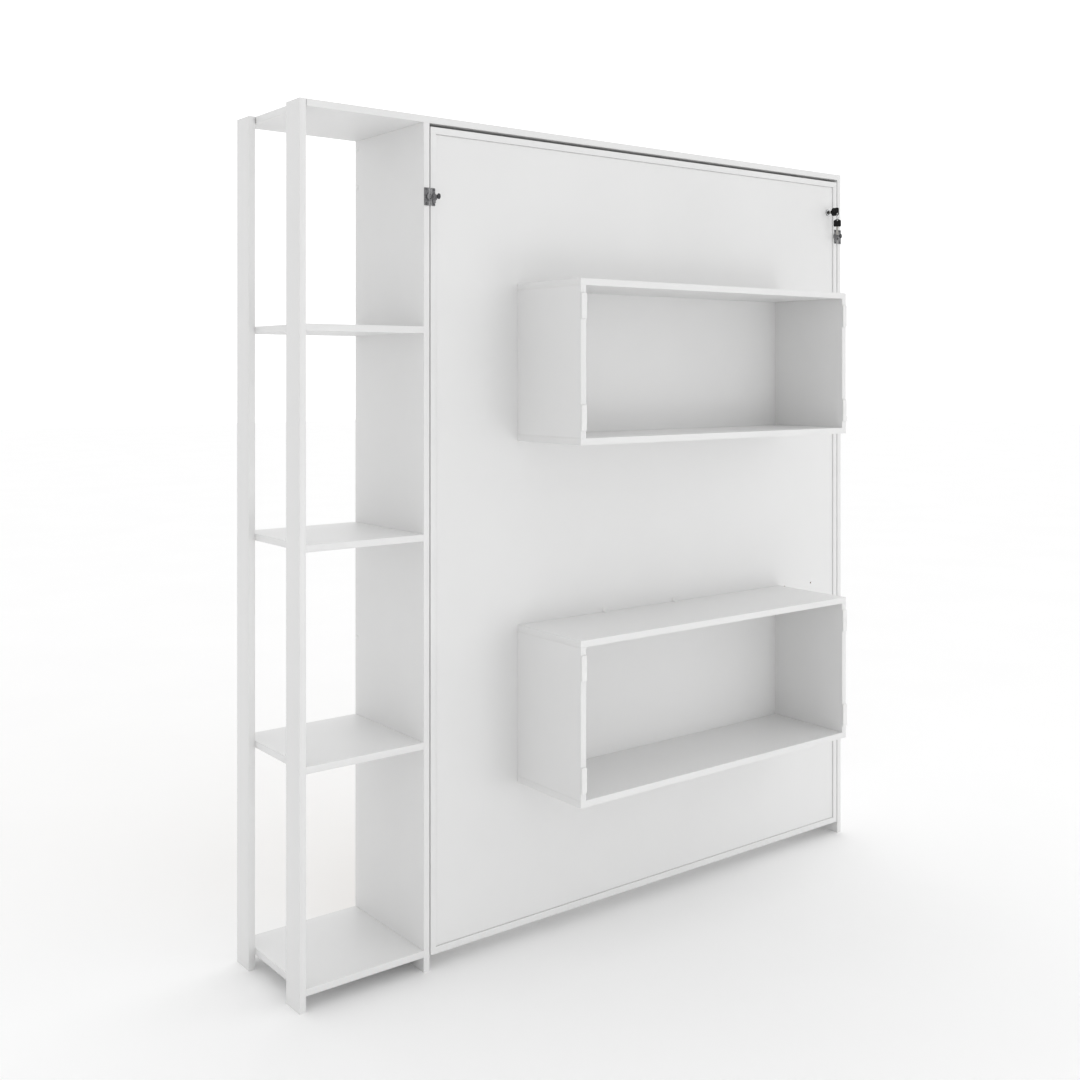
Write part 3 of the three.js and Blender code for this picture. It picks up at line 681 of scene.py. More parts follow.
def make_bed_screws():
    """Flush screws that hold the bed's rails to each other and to the face panel's edges."""
    shells = Shells()
    panel_y = middle("face_panel").y
    for rail, up in (("top_rail", 1), ("bottom_rail", -1)):
        low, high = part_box(rail)
        z = high.z if up > 0 else low.z
        for side in SIDES:
            x = middle(f"side_rail_{side}").x
            for y in (low.y + RAIL_SCREW_INSETS[0], high.y - RAIL_SCREW_INSETS[1]):
                flush_screw(shells, (x, y, z), Z * up, LARGE_SCREW)
    for side in SIDES:
        rail = f"side_rail_{side}"
        low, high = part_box(rail)
        spread = high.z - low.z - 2 * FACE_SCREW_INSET
        for i in range(FACE_SCREWS):
            z = low.z + FACE_SCREW_INSET + i * spread / (FACE_SCREWS - 1)
            flush_screw(shells, (side_x(rail, side, False), panel_y, z), -X * INWARD[side], LARGE_SCREW)
    piece("bed_screws", shells, "bed")


def make_box_brackets():
    """Small white angles that fix each box shelf to the bed's face, above and below it."""
    reach, sheet = BRACKET_REACH, BRACKET_SHEET
    profile = [(0, 0), (-reach, 0), (-reach, sheet), (-sheet - BRACKET_CORNER, sheet),
               (-sheet, sheet + BRACKET_CORNER), (-sheet, reach), (0, reach)]
    screw_at = reach * BRACKET_SCREW_SHARE
    face_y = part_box("face_panel")[0].y
    edge = round_edge(0.25 * MM, WHITE)
    for row in LEVELS:
        shells = Shells()
        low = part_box(f"{row}_box_bottom")[0]
        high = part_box(f"{row}_box_top")[1]
        for share in BRACKET_SHARES:
            x = low.x + (high.x - low.x) * share
            for z, up in ((high.z, 1), (low.z, -1)):
                corner = Vector((x, face_y, z))
                place = place_of(corner - X * (BRACKET_WIDTH / 2), Y, Z * up, X)
                plate(shells, profile, BRACKET_WIDTH, place, WHITE, edge)
                flush_screw(shells, corner + Vector((0, -screw_at, sheet * up)), Z * up, *BRACKET_SCREW)
                flush_screw(shells, corner + Vector((0, -sheet, screw_at * up)), -Y, *BRACKET_SCREW)
        piece(f"{row}_box_brackets", shells, "bed")


def make_pads():
    edge = round_edge(PAD_ROUND, WHITE, 3)
    for row in LEVELS:
        for side in SIDES:
            for end in ("bottom", "top"):
                node = f"{row}_pad_{side}_{end}"
                low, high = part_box(node)
                shells = Shells()
                plate(shells, centred(*half_size(node), PAD_CORNER), high.y - low.y,
                      front_place(node, high.y), WHITE, edge)
                piece(f"{node}_foot", shells, "bed", [node])


# ---- Slatted base ----

SLAT_COUNT = 14
SLAT_WIDTH = 68 * MM
SLAT_THICKNESS = 8 * MM
SLAT_CORNER = 2.2 * MM
SLAT_BOW = 5 * MM
SLAT_INSET = 9 * MM
SLAT_STEPS = 24
SLAT_END_MARGIN = 15 * MM
LEDGER_WIDTH = 20 * MM
LEDGER_DEPTH = 14.5 * MM
LEDGER_CORNER = 2 * MM
LEDGER_ROUND = 1.5 * MM
LEDGER_SCREW_STEP = 3  # a screw for every third slat
HOLDER_LENGTH = 34 * MM
HOLDER_WALL = 2.2 * MM
HOLDER_CORNER = 3 * MM
HOLDER_INSET = 4.5 * MM
HOLDER_RINGS = ((0, -1.2 * MM), (0.04, 0), (0.85, 0), (1, -1.0 * MM))  # (share of length, growth)
HOLDER_SCREWS = (0.3, 0.28)  # their places as shares of its length and the slat's width


def slat_heights():
    low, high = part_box("slatted_base")
    first = low.z + SLAT_END_MARGIN + SLAT_WIDTH / 2
    last = high.z - SLAT_END_MARGIN - SLAT_WIDTH / 2
    return [first + (last - first) * i / (SLAT_COUNT - 1) for i in range(SLAT_COUNT)]


def slat_ring(x, y, z, width=SLAT_WIDTH, thickness=SLAT_THICKNESS, radius=SLAT_CORNER):
    outline = rounded_rectangle(-width / 2, width / 2, 0, thickness, radius, 3)
    return [Vector((x, y + v, z + u)) for u, v in outline]


def make_slats():
    """Bowed slats of laminated birch, each in its own piece."""
    low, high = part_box("slatted_base")
    from_x, to_x = low.x + SLAT_INSET, high.x - SLAT_INSET
    back = high.y - SLAT_THICKNESS
    for number, z in enumerate(slat_heights(), 1):
        rings = []
        for i in range(SLAT_STEPS + 1):
            share = i / SLAT_STEPS
            rise = SLAT_BOW * (1 - (2 * share - 1) ** 2)
            rings.append(slat_ring(from_x + (to_x - from_x) * share, back + rise, z))
        shells = Shells()
        lofted(shells, rings, "slat_wood")
        piece(f"slat_{number:02d}", shells, "bed", ["slatted_base"])


def make_ledgers():
    low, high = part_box("slatted_base")
    outline = centred(LEDGER_WIDTH / 2, (high.z - low.z) / 2, LEDGER_CORNER, 3)
    edge = round_edge(LEDGER_ROUND, "ledger_wood", 3)
    heights = slat_heights()
    for side in SIDES:
        start = low.x if side == "left" else high.x - LEDGER_WIDTH
        inner = start + LEDGER_WIDTH if side == "left" else start
        shells = Shells()
        place = facing((start + LEDGER_WIDTH / 2, low.y, (low.z + high.z) / 2), Y)
        plate(shells, outline, LEDGER_DEPTH, place, "ledger_wood", edge)
        for i in range(0, SLAT_COUNT - 1, LEDGER_SCREW_STEP):
            at = (inner, low.y + LEDGER_DEPTH / 2, (heights[i] + heights[i + 1]) / 2)
            flush_screw(shells, at, X * INWARD[side], LARGE_SCREW, "zinc")
        piece(f"slat_ledger_{side}", shells, "bed")


def make_slat_holders():
    """Plastic pockets that hold the slats' ends on the ledgers."""
    low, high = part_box("slatted_base")
    back = high.y - SLAT_THICKNESS
    for side in SIDES:
        shells = Shells()
        edge_x = low.x + HOLDER_INSET if side == "left" else high.x - HOLDER_INSET
        for z in slat_heights():
            rings = []
            for share, grow in HOLDER_RINGS:
                x = edge_x + INWARD[side] * HOLDER_LENGTH * share
                width = SLAT_WIDTH + 2 * (HOLDER_WALL + grow)
                height = SLAT_THICKNESS + HOLDER_WALL + grow
                rings.append(slat_ring(x, back - 0.2 * MM, z, width, height, HOLDER_CORNER))
            lofted(shells, rings, BLACK)
            x = edge_x + INWARD[side] * HOLDER_LENGTH * HOLDER_SCREWS[0]
            for dz in (-SLAT_WIDTH * HOLDER_SCREWS[1], SLAT_WIDTH * HOLDER_SCREWS[1]):
                at = Vector((x, back + SLAT_THICKNESS + HOLDER_WALL, z + dz))
                screw(shells, at - Y * (0.3 * MM), Y)
        piece(f"slat_holders_{side}", shells, "bed")


# ---- Latches ----

LEAF = 1.2 * MM
LEAF_CORNER = 1.6 * MM
LEAF_SCREW = 2.9 * MM
LEAF_SCREW_HEIGHT = 0.4 * MM  # the knob's finger passes over it
LEAF_SCREW_INSET = 4.2 * MM
RIBS = {"plate": 3.2 * MM, "strike": 5.4 * MM}  # width of the raised rib along the gap
RIB_HEIGHT = 0.3 * MM
RIB_INSET = 0.6 * MM
RIB_CORNER = 0.9 * MM
LIP_RADIUS = 8.6 * MM
LIP_REACH = 11.7 * MM  # from the gap to its round end
LIP_THICKNESS = 1.6 * MM
LIP_FOOT = 4.8 * MM  # how far in the lip stands on its leaf
LIP_STEPS = 18
LIP_DIMPLE = (1.5 * MM, 1.0 * MM)  # radius and depth
LIP_DIMPLE_PLACE = (4 * MM, 5.4 * MM)  # from the gap and from the middle
FINGER_THICKNESS = 2.2 * MM
FINGER_HALF = 3.5 * MM
KNOB_CONE = 8.6 * MM
KNOB_NECK = 2.4 * MM
KNOB_NECK_LENGTH = 4.5 * MM
KNOB_HEAD = 7 * MM
KNOB_HEAD_LENGTH = 6 * MM
KNOB_HEAD_LEAST = 0.70  # of its radius, at its ends
KNOB_FLATNESS = 0.58


def make_leaf(shells, node, side):
    """A latch's leaf. Returns its place, half its width and half its height."""
    place = front_place(node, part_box(f"latch_plate_{side}")[1].y)
    half_u, half_v = half_size(node)
    outline = centred(half_u, half_v, LEAF_CORNER)
    plate(shells, outline, LEAF, place, "zinc", round_edge(0.3 * MM, "bright_zinc"))
    return place, half_u, half_v


def make_latch_leaves(side):
    """A latch's plate on the bed and its strike on the panel, each with a rib along the gap."""
    for part, gap_side in (("plate", -INWARD[side]), ("strike", INWARD[side])):
        node = f"latch_{part}_{side}"
        rib = RIBS[part]
        shells = Shells()
        place, half_u, half_v = make_leaf(shells, node, side)
        ends = sorted((gap_side * half_u, gap_side * (half_u - rib)))
        ridge = rounded_rectangle(*ends, -half_v + RIB_INSET, half_v - RIB_INSET, RIB_CORNER)
        plate(shells, ridge, RIB_HEIGHT, raised(place, LEAF - 0.05 * MM), "bright_zinc",
              round_edge(0.12 * MM, "bright_zinc"))
        for v in (-half_v + LEAF_SCREW_INSET, half_v - LEAF_SCREW_INSET):
            at = place @ Vector((-gap_side * (rib / 2), v, LEAF))
            screw(shells, at, -Y, LEAF_SCREW, "steel", LEAF_SCREW_HEIGHT)
        if part == "strike":
            make_lip(shells, node, place, half_u, gap_side)
        piece(f"{node}_leaf", shells, body_of(node), [node])


def make_lip(shells, node, place, half_u, gap_side):
    """The strike's pocket with its round end away from the gap."""
    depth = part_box("latch_plate_left")[1].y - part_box(node)[0].y
    gap_u = gap_side * half_u
    far_u = gap_u - gap_side * LIP_REACH
    centre_u = far_u + gap_side * LIP_RADIUS
    arc = []
    for turn in half_turn(LIP_STEPS):
        turn += math.pi / 2
        arc.append((centre_u + gap_side * LIP_RADIUS * math.cos(turn), LIP_RADIUS * math.sin(turn)))
    outline = arc + [(gap_u, -LIP_RADIUS), (gap_u, LIP_RADIUS)]
    foot = [(u, v) for u, v in arc if abs(u - far_u) <= LIP_FOOT]
    if gap_side < 0:
        outline.reverse()
        foot.reverse()
    holes = []
    # the dimples' dark steel look is painted shade inside them
    for v in (-LIP_DIMPLE_PLACE[1], LIP_DIMPLE_PLACE[1]):
        centre = (gap_u - gap_side * LIP_DIMPLE_PLACE[0], v)
        holes.append((circle(LIP_DIMPLE[0], 18, centre), LIP_DIMPLE[1], "steel"))
    plate(shells, outline, LIP_THICKNESS, raised(place, depth - LIP_THICKNESS), "bright_zinc",
          round_edge(0.5 * MM, "bright_zinc", 3), "zinc", holes)
    foot_height = depth - LEAF - LIP_THICKNESS + 0.2 * MM
    plate(shells, foot, foot_height, raised(place, LEAF - 0.1 * MM), "zinc",
          round_edge(0.05 * MM, "zinc", 1))


def make_latch_knob(side):
    """A cone with a collar, a neck and an oval thumb turn, on a finger with a round end."""
    node = f"latch_knob_{side}"
    low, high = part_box(node)
    axis_x, _, axis_z = joints[f"latch_turn_{side}"]["pos_m"]
    length = high.y - low.y
    place = facing((axis_x, high.y, axis_z), -Y)
    head_start = length - KNOB_HEAD_LENGTH
    neck_start = head_start - KNOB_NECK_LENGTH
    shells = Shells()
    turned(shells, [
        (0, 0), (KNOB_CONE - 0.3 * MM, 0), (KNOB_CONE, 0.3 * MM),
        (KNOB_CONE, FINGER_THICKNESS - 0.3 * MM), (KNOB_CONE - 0.3 * MM, FINGER_THICKNESS),
        (KNOB_CONE - 0.7 * MM, FINGER_THICKNESS + 0.5 * MM),
        (KNOB_NECK + 1.1 * MM, neck_start - 1.6 * MM),
        (KNOB_NECK + 0.3 * MM, neck_start - 0.4 * MM), (KNOB_NECK, neck_start),
        (KNOB_NECK, head_start - 0.6 * MM), (KNOB_NECK + 0.5 * MM, head_start + 0.3 * MM),
        (0, head_start + 0.4 * MM),
    ], place, "zinc")
    head = [(0, head_start)]
    for turn in half_turn(12):
        radius = KNOB_HEAD * (KNOB_HEAD_LEAST + (1 - KNOB_HEAD_LEAST) * math.sin(turn))
        head.append((radius, head_start + KNOB_HEAD_LENGTH * (1 - math.cos(turn)) / 2))
    head += [(KNOB_HEAD * 0.4, length), (0, length - 0.1 * MM)]
    turned(shells, head, place, "steel", flatness=KNOB_FLATNESS)
    tip = FINGER_HALF
    corners = [(-tip, low.z - axis_z), (tip, low.z - axis_z), (tip, 0), (-tip, 0)]
    outline = rounded(corners, [tip * 0.98, tip * 0.98, 0.1 * MM, 0.1 * MM], 8)
    plate(shells, outline, FINGER_THICKNESS, place, "zinc", round_edge(0.4 * MM, "bright_zinc"))
    piece(f"{node}_turn", shells, node, [node])


# ---- Lock and keys ----

ROSETTE_RADIUS = 10 * MM
ROSETTE_BASE = 0.5 * MM
ROSETTE_RISE = 0.9 * MM
PLUG_RADIUS = 6 * MM
PLUG_PLAY = 0.35 * MM
KEYWAY_HALF = (1.3 * MM, 4.05 * MM)
BLADE_THICKNESS = 2 * MM
BLADE_CUTS = (0.9 * MM, 2.0 * MM, 1.2 * MM, 2.3 * MM, 1.5 * MM)  # depths along its lower edge
BLADE_SHOULDER = 6 * MM
BLADE_TIP = 4 * MM
GROOVE_INSET = 3 * MM
GROOVE = (0.2 * MM, 1.4 * MM)
GROOVE_DEPTH = 0.5 * MM
KEY_ROUND = 1.1 * MM
KEY_BLADE_HALF = 3.75 * MM
BOW_LENGTH = 26 * MM
BOW_CORNER = 5 * MM
BOW_HOLE = 3.2 * MM
BOW_PANEL = (11 * MM, 23.5 * MM)
BOW_PANEL_INSET = 3.5 * MM
PANEL_DEPTH = 0.5 * MM
COLLAR_HALF = 5.2 * MM
COLLAR_LENGTHS = (1 * MM, 3 * MM)  # inside the bow and beyond it
SPARE_THICKNESS = 4 * MM
SPARE_TURN = math.radians(39)
SPARE_HOLE = 1.9 * MM
SPARE_HOLE_DROP = 4.6 * MM  # from the peak
SPARE_HEAD_MM = [(-11, -19.2), (11, -19.2), (11, -1), (0, 4.6), (-11, -1)]  # about the hole
SPARE_CORNERS_MM = (3, 3, 2.5, 3.5, 2.5)
SPARE_BLADE_START = 17.2 * MM
SPARE_BLADE_HALF = 3.5 * MM
RING_RADIUS = 8 * MM
RING_WIRE = 0.42 * MM
RING_PITCH = 0.8 * MM
RING_TURNS = 2
RING_STEPS = 96
RING_HEADING = math.radians(20)


def make_rosette():
    """A domed ring round the lock's plug, over the lock's own flange."""
    centre = middle("lock_plug")
    place = facing((centre.x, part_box("lock_body")[0].y + 0.6 * MM, centre.z), -Y)
    inner = PLUG_RADIUS + PLUG_PLAY
    spread = (ROSETTE_RADIUS - inner) / 2
    ring = []
    for turn in half_turn(12):
        radius = (ROSETTE_RADIUS + inner) / 2 + spread * math.cos(turn)
        ring.append((radius, ROSETTE_BASE + ROSETTE_RISE * math.sin(turn) ** 0.7))
    ring += [(inner, 0), (ROSETTE_RADIUS, 0), ring[0]]
    shells = Shells()
    turned(shells, ring, place, "chrome", 56)
    piece("lock_rosette", shells, "bed")


def make_plug():
    low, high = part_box("lock_plug")
    half_u, half_v = KEYWAY_HALF
    keyway = (rectangle(-half_u, half_u, -half_v, half_v), None, "steel")
    shells = Shells()
    plate(shells, circle(PLUG_RADIUS, 48), high.y - low.y, front_place("lock_plug", high.y), "steel",
          round_edge(0.5 * MM, "steel_edge", 3), "steel", [keyway])
    piece("lock_plug_core", shells, "lock_plug", ["lock_plug"])


def blade_outline(length, half):
    """A blade along +u with cuts along its lower edge and a bevelled tip."""
    outline = [(0, half), (0, -half)]
    pitch = (length - BLADE_SHOULDER - BLADE_TIP) / len(BLADE_CUTS)
    for i, depth in enumerate(BLADE_CUTS):
        start = BLADE_SHOULDER + i * pitch
        for share, rise in ((0, 0), (0.3, depth), (0.55, depth), (0.9, 0)):
            outline.append((start + pitch * share, -half + rise))
    outline += [(length - 2.5 * MM, -half), (length, -half * 0.2)]
    outline += [(length, half * 0.3), (length - 2 * MM, half)]
    return outline


def make_blade(name, place, length, half, node):
    shells = Shells()
    groove = rounded_rectangle(GROOVE_INSET, length - GROOVE_INSET, *GROOVE, 0.4 * MM, 3)
    plate(shells, blade_outline(length, half), BLADE_THICKNESS, place, "nickel",
          round_edge(0.2 * MM, "nickel"), "nickel", [(groove, GROOVE_DEPTH, "nickel")])
    piece(name, shells, node, [node])


def make_bow(shells, outline, thickness, place, hole, panel):
    """A key's moulded head with a hole through it and a sunk panel."""
    holes = [(hole, None, BLACK), (panel, PANEL_DEPTH, BLACK)]
    plate(shells, outline, thickness, place, BLACK, round_edge(KEY_ROUND, BLACK, 4),
          None, holes)


def make_key():
    """A key with a moulded bow, standing on edge in the plug."""
    low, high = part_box("key")
    centre = middle("key")
    half = (high.z - low.z) / 2
    place = place_of(Vector((low.x, low.y, centre.z)), Y, Z, X)
    at = place.inverted() @ Vector(joints["ring_swing"]["pos_m"])
    outline = rounded_rectangle(0, BOW_LENGTH, -half, half, BOW_CORNER, 8)
    panel = rounded_rectangle(*BOW_PANEL, -half + BOW_PANEL_INSET, half - BOW_PANEL_INSET, 2.5 * MM, 5)
    shells = Shells()
    make_bow(shells, outline, high.x - low.x, place, circle(BOW_HOLE, 28, (at.x, at.y)), panel)
    collar = rounded_rectangle(BOW_LENGTH - COLLAR_LENGTHS[0], BOW_LENGTH + COLLAR_LENGTHS[1],
                               -COLLAR_HALF, COLLAR_HALF, 1 * MM)
    plate(shells, collar, high.x - low.x - 0.6 * MM, raised(place, 0.3 * MM), BLACK,
          round_edge(0.6 * MM, BLACK, 3))
    piece("key_bow", shells, "key", ["key"])
    origin = Vector((centre.x - BLADE_THICKNESS / 2, low.y + BOW_LENGTH - 2 * MM, centre.z))
    make_blade("key_blade", place_of(origin, Y, Z, X), high.y - origin.y, KEY_BLADE_HALF, "key")


def make_spare_key():
    """A key with a peaked head, turned about its own hole as it hangs."""
    low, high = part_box("spare_key")
    centre = middle("spare_key")
    across = Vector((-math.sin(SPARE_TURN), math.cos(SPARE_TURN), 0))
    normal = Vector((math.cos(SPARE_TURN), math.sin(SPARE_TURN), 0))
    hole = Vector((centre.x, centre.y, high.z - SPARE_HOLE_DROP))
    place = place_of(hole - normal * (SPARE_THICKNESS / 2), across, Z, normal)
    corners = [(u * MM, v * MM) for u, v in SPARE_HEAD_MM]
    outline = rounded(corners, [radius * MM for radius in SPARE_CORNERS_MM], 6)
    panel = rounded_rectangle(-7.5 * MM, 7.5 * MM, -16 * MM, -6 * MM, 2.2 * MM, 5)
    shells = Shells()
    make_bow(shells, outline, SPARE_THICKNESS, place, circle(SPARE_HOLE, 28, (0, 0.2 * MM)), panel)
    piece("spare_key_head", shells, "spare_key", ["spare_key"])
    top = hole - Z * SPARE_BLADE_START - normal * (BLADE_THICKNESS / 2)
    blade_place = place_of(top, -Z, across, normal)
    make_blade("spare_key_blade", blade_place, top.z - low.z, SPARE_BLADE_HALF, "spare_key")


def make_key_ring():
    """A split ring: a wire wound twice, side by side."""
    centre = middle("key_ring")
    flat = Vector((math.cos(RING_HEADING), math.sin(RING_HEADING), 0))
    normal = flat.cross(Z)
    rings = []
    for i in range(RING_STEPS + 1):
        turns = RING_TURNS * i / RING_STEPS
        angle = 2 * math.pi * turns
        out = flat * math.cos(angle) + Z * math.sin(angle)
        at = centre + out * RING_RADIUS + normal * (RING_PITCH * (turns - RING_TURNS / 2))
        rings.append([at + out * (u * RING_WIRE) + normal * (v * RING_WIRE) for u, v in circle(1, 10)])
    shells = Shells()
    lofted(shells, rings, "chrome")
    piece("key_split_ring", shells, "spare_key", ["key_ring"])


# ---- Gas struts ----

TUBE_RADIUS = 9 * MM
TUBE_START = 14 * MM
TUBE_END = 308 * MM
TUBE_FLOOR = 8 * MM  # thickness of its closed end
ROD_RADIUS = 4 * MM
ROD_IN_TUBE = 130 * MM
ROD_END = 16 * MM  # from the lower eye's middle
NUT_RADIUS = 6.2 * MM
EYE_RADIUS = 9 * MM
EYE_THICKNESS = 8 * MM
PIN_RADIUS = 5 * MM
PIN_PAST_EYE = 1.2 * MM


def strut_place(side):
    """A place at the upper eye, with w down the strut and u along X. Also the strut's length."""
    upper = Vector(joints[f"strut_turn_{side}"]["pos_m"])
    along = Vector(joints[f"strut_stroke_{side}"]["axis"]).normalized()
    lower_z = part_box(f"strut_rod_{side}")[0].z + EYE_RADIUS
    return place_of(upper, X, along.cross(X), along), (upper.z - lower_z) / -along.z


def make_eye(shells, place, at, look, hole=True):
    """A flat ring across the strut's end."""
    centre = place @ Vector((-EYE_THICKNESS / 2, 0, at))
    eye_place = place_of(centre, place.col[2].to_3d(), place.col[1].to_3d(), X)
    holes = [(circle(PIN_RADIUS + 0.4 * MM, 28), None, "steel")] if hole else []
    plate(shells, circle(EYE_RADIUS, 36), EYE_THICKNESS, eye_place, look,
          round_edge(0.8 * MM, "steel_edge", 3), look, holes)


def make_strut_tube(side, place):
    """A hollow tube with a rolled groove near its mouth, and its eye."""
    shells = Shells()
    r, start, end = TUBE_RADIUS, TUBE_START, TUBE_END
    bore = ROD_RADIUS + 0.4 * MM
    turned(shells, [
        (0, start), (r - 1.6 * MM, start), (r - 0.4 * MM, start + 0.5 * MM), (r, start + 1.7 * MM),
        (r, end - 16 * MM), (r - 0.9 * MM, end - 14.6 * MM), (r - 0.9 * MM, end - 13.4 * MM),
        (r, end - 12 * MM), (r, end - 1.8 * MM), (r - 0.5 * MM, end - 0.5 * MM),
        (r - 1.9 * MM, end), (ROD_RADIUS + 1.4 * MM, end), (ROD_RADIUS + 1.2 * MM, end - 1 * MM),
        (bore, end - 1 * MM), (bore, start + TUBE_FLOOR), (0, start + TUBE_FLOOR),
    ], place, "black_paint", 48)
    make_eye(shells, place, 0, "black_paint")
    turned(shells, [
        (0, 8 * MM), (4.4 * MM, 8 * MM), (5.6 * MM, start - 1 * MM), (6.4 * MM, start + 0.5 * MM),
        (0, start + 0.5 * MM),
    ], place, "black_paint", 32)
    node = f"strut_cylinder_{side}"
    piece(f"strut_tube_{side}", shells, node, [node])


def make_strut_rod(side, place, length):
    """A polished rod with a nut, an eye and the pin through it."""
    node = f"strut_rod_{side}"
    shells = Shells()
    start, end = TUBE_END - ROD_IN_TUBE, length - ROD_END
    turned(shells, [
        (0, start), (ROD_RADIUS, start), (ROD_RADIUS, end), (ROD_RADIUS - 0.6 * MM, end + 0.6 * MM),
        (0, end + 0.6 * MM),
    ], place, "chrome", 32)
    turned(shells, [
        (0, length - 19 * MM), (NUT_RADIUS - 0.6 * MM, length - 19 * MM),
        (NUT_RADIUS, length - 18.4 * MM), (NUT_RADIUS, length - 9 * MM),
        (NUT_RADIUS - 1.2 * MM, length - 7 * MM), (0, length - 7 * MM),
    ], place, "steel", 6)
    make_eye(shells, place, length, "steel", False)
    arm_x = side_x(node, side, False)
    centre = place @ Vector((0, 0, length))
    pin_place = facing((arm_x, centre.y, centre.z), X * INWARD[side])
    pin = abs(centre.x - arm_x) + EYE_THICKNESS / 2 + PIN_PAST_EYE
    turned(shells, [
        (0, 0), (PIN_RADIUS - 0.4 * MM, 0), (PIN_RADIUS, 0.4 * MM), (PIN_RADIUS, pin - 0.6 * MM),
        (PIN_RADIUS - 0.6 * MM, pin), (0, pin),
    ], pin_place, "steel_edge", 32)
    piece(f"strut_rod_end_{side}", shells, node, [node])


def make_strut(side):
    place, length = strut_place(side)
    make_strut_tube(side, place)
    make_strut_rod(side, place, length)


# ---- Brackets, arms and stops ----

STOP_CORNER = 3 * MM
STOP_ROUND = 1.2 * MM
BUMPER_HALF = (6.5 * MM, 22 * MM)
BUMPER_HEIGHT = 3 * MM
BUMPER_CORNER = 4 * MM
STOP_SCREW_STEP = 20 * MM
ANGLE_SHEET = 2 * MM
ANGLE_SCREW = 4.6 * MM
ANGLE_SCREW_INSET = 26 * MM
STRUT_PLATE = 3 * MM
STRUT_PLATE_STEPS = (13 * MM, 24 * MM)
BUSH_SCREW = 2 * MM
BUSH_SCREW_RADIUS = 16.6 * MM
KEEPER_SCREW = 2.6 * MM
KEEPER_SCREW_STEP = 11 * MM
ARM_SCREWS_MM = ((12, 16), (-12, 16), (12, 122), (-12, 158), (12, 158))  # from its lower end's middle

KEPT = {
    "wall_bracket": "zinc",
    "strut_bracket": "steel",
    "pivot_bush": "nylon",
    "pivot_arm": "steel",
    "lock_body": "zinc",
    "lock_bolt": "bright_zinc",
    "lock_keeper": "zinc",
}
KEPT_ROUND = 0.35 * MM
KEPT_ANGLE = math.radians(40)


def make_stop_block(side):
    node = f"stop_block_{side}"
    low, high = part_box(node)
    depth = high.y - low.y
    centre = middle(node)
    place = front_place(node, high.y)
    shells = Shells()
    plate(shells, centred(*half_size(node), STOP_CORNER), depth - BUMPER_HEIGHT, place, WHITE,
          round_edge(STOP_ROUND, WHITE, 3))
    thickness = BUMPER_HEIGHT + 0.2 * MM
    plate(shells, centred(*BUMPER_HALF, BUMPER_CORNER, 6), thickness, raised(place, depth - thickness),
          "rubber", round_edge(1.4 * MM, "rubber", 4))
    inner = side_x(node, side, True)
    for dz in (-STOP_SCREW_STEP, STOP_SCREW_STEP):
        flush_screw(shells, (inner, centre.y + 1 * MM, centre.z + dz), X * INWARD[side], LARGE_SCREW)
    piece(f"{node}_bumper", shells, "cabinet", [node])


def make_panel_screws(side):
    """Screws in the cabinet's hardware: wall angle, strut plate, bush and keeper."""
    inward = X * INWARD[side]
    shells = Shells()
    low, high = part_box(f"wall_bracket_{side}")
    for share in (0.25, 0.75):
        x = low.x + (high.x - low.x) * share
        far_y, far_z = high.y - ANGLE_SCREW_INSET, high.z - ANGLE_SCREW_INSET
        screw(shells, (x, far_y, high.z - ANGLE_SHEET), -Z, ANGLE_SCREW)
        screw(shells, (x, high.y - ANGLE_SHEET, far_z), -Y, ANGLE_SCREW)
    plate_x = side_x(f"strut_bracket_{side}", side, False) + INWARD[side] * STRUT_PLATE
    centre = Vector(joints[f"strut_turn_{side}"]["pos_m"])
    step_y, step_z = STRUT_PLATE_STEPS
    for dy in (-step_y, step_y):
        for dz in (-step_z, step_z):
            screw(shells, (plate_x, centre.y + dy, centre.z + dz), inward, LARGE_SCREW)
    bush = f"pivot_bush_{side}"
    for i in range(3):
        turn = math.pi * 2 * i / 3 + math.pi / 2
        at = middle(bush) + Vector((0, math.cos(turn), math.sin(turn))) * BUSH_SCREW_RADIUS
        flush_screw(shells, (side_x(bush, side, True), at.y, at.z), inward, BUSH_SCREW)
    if side == "right":
        centre = middle("lock_keeper")
        keeper_x = side_x("lock_keeper", side, True)
        for dz in (-KEEPER_SCREW_STEP, KEEPER_SCREW_STEP):
            flush_screw(shells, (keeper_x, centre.y, centre.z + dz), inward, KEEPER_SCREW)
    piece(f"panel_screws_{side}", shells, "cabinet")


def make_arm_screws(side):
    node = f"pivot_arm_{side}"
    low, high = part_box(node)
    shells = Shells()
    for y, z in ARM_SCREWS_MM:
        at = (side_x(node, side, True), (low.y + high.y) / 2 + y * MM, low.z + z * MM)
        screw(shells, at, X * INWARD[side], LARGE_SCREW)
    piece(f"arm_screws_{side}", shells, "bed")


def dress_kept_nodes():
    """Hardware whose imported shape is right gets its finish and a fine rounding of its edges."""
    for name, node in frame["nodes"].items():
        look = next((KEPT[stem] for stem in KEPT if name.startswith(stem)), None)
        if look is None:
            continue
        node.data.materials.clear()
        node.data.materials.append(FINISHES[look])
        rounding = node.modifiers.new("rounding", "BEVEL")
        rounding.width = KEPT_ROUND
        rounding.segments = 2
        rounding.limit_method = "ANGLE"
        rounding.angle_limit = KEPT_ANGLE
        rounding.harden_normals = False


# ---- Studio ----

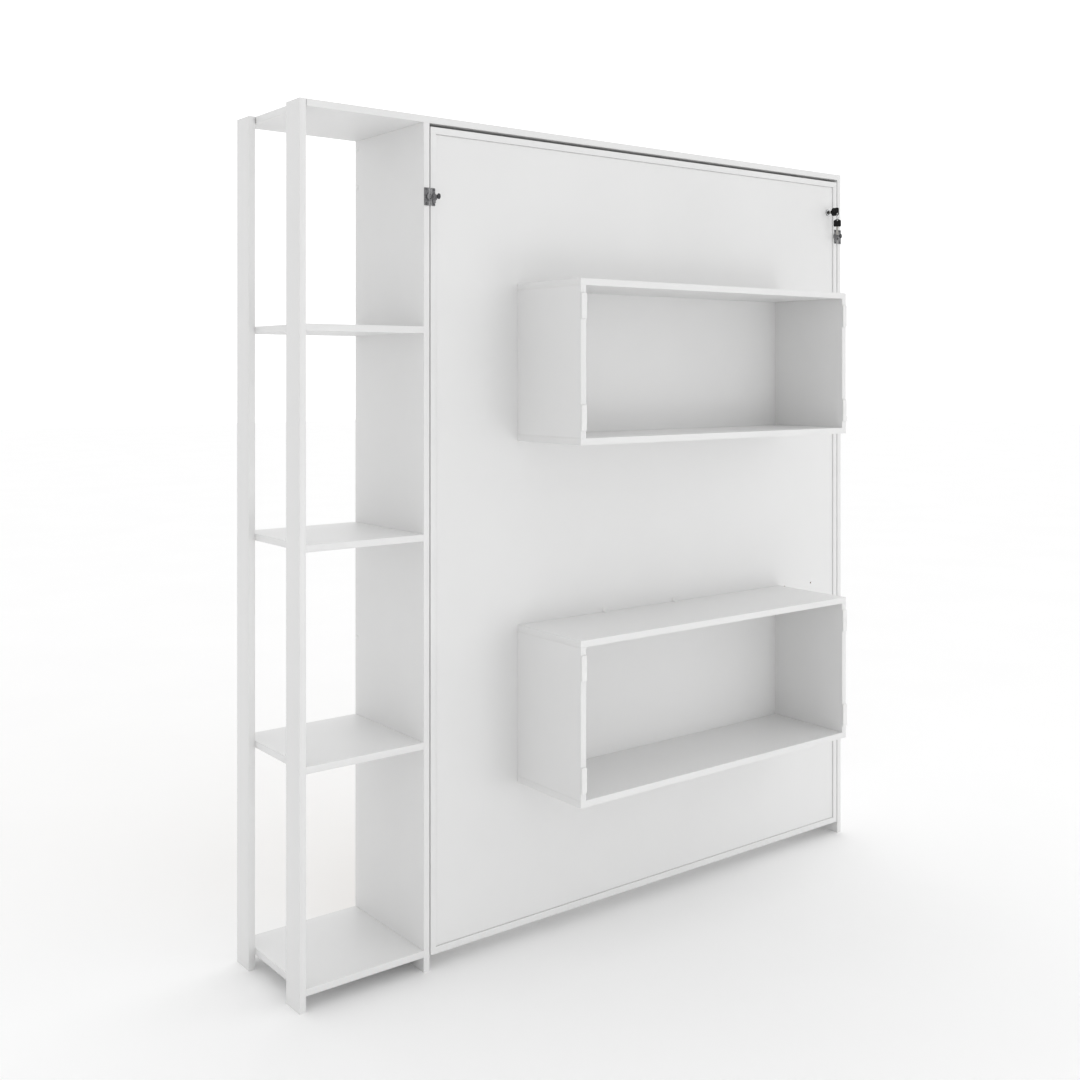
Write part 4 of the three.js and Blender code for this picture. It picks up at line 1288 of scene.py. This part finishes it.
FLOOR_HALF = 30.0
CAMERA_PLACE = (-2.2041, -2.5706, 1.4026)
CAMERA_HEADING = math.radians(-37.679)
CAMERA_SENSOR = 36
CAMERA_LENS = 42.762
CAMERA_SHIFT = -0.15617
CAMERA_CLIP = (0.05, 200)
SKY_STRENGTH = 1.02
SKY_LEAN = (0.23, 0.13, 0.0)  # how much brighter the sky is towards each axis
LIGHTS = (  # name, place, target, diameter, power
    ("front_light", (2.0, -5.5, 0.5), (0.2, 0, 0.2), 2.5, 5),
    ("low_light", (0.7, -3.6, 0.3), (0.2, 0, 0.15), 1.2, 11),
)


def make_camera():
    data = bpy.data.cameras.new("camera")
    data.sensor_width = CAMERA_SENSOR
    data.lens = CAMERA_LENS
    data.shift_y = CAMERA_SHIFT
    data.clip_start, data.clip_end = CAMERA_CLIP
    camera = linked("camera", data)
    camera.location = CAMERA_PLACE
    camera.rotation_euler = (math.pi / 2, 0, CAMERA_HEADING)
    bpy.context.scene.camera = camera


def make_floor():
    mesh = bpy.data.meshes.new("floor")
    mesh.from_pydata([(u, v, 0) for u, v in square(FLOOR_HALF)], [], [(0, 1, 2, 3)])
    mesh.materials.append(finish(
        "pale_floor", ((0.965, 0.965, 0.965), (0.975, 0.975, 0.975)), (0.85, 0.95), (1.5, EVEN),
        [(300, EVEN, 0.00001)],
    ))
    linked("floor", mesh)


def area_light(name, place, target, diameter, power):
    data = bpy.data.lights.new(name, "AREA")
    data.shape = "DISK"
    data.size = diameter
    data.energy = power
    light = linked(name, data)
    light.location = place
    light.rotation_euler = (Vector(target) - Vector(place)).to_track_quat("-Z", "Y").to_euler()


def make_light():
    """A white sky that is a little brighter on the right and behind, and two soft low lamps."""
    world = bpy.data.worlds.new("studio")
    bpy.context.scene.world = world
    world.use_nodes = True
    tree = world.node_tree
    background = tree.nodes["Background"]
    background.inputs["Color"].default_value = (1, 1, 1, 1)
    direction = add_node(tree, "TexCoord", {}).outputs["Generated"]
    along = add_node(tree, "VectorMath", {0: direction, 1: SKY_LEAN}, operation="DOT_PRODUCT")
    strength = map_range(tree, along.outputs["Value"], -1, 1, SKY_STRENGTH - 1, SKY_STRENGTH + 1)
    tree.links.new(strength, background.inputs["Strength"])
    for light in LIGHTS:
        area_light(*light)
    bpy.context.scene.view_settings.view_transform = "Standard"


# ---- The whole bed ----


def make_bed():
    make_boards()
    make_face_panel()
    make_cover_caps()
    make_bed_screws()
    make_box_brackets()
    make_pads()
    make_slats()
    make_ledgers()
    make_slat_holders()
    for side in SIDES:
        make_latch_leaves(side)
        make_latch_knob(side)
        make_strut(side)
        make_stop_block(side)
        make_panel_screws(side)
        make_arm_screws(side)
    make_rosette()
    make_plug()
    make_key()
    make_spare_key()
    make_key_ring()
    dress_kept_nodes()


make_camera()
make_floor()
make_light()
make_bed()
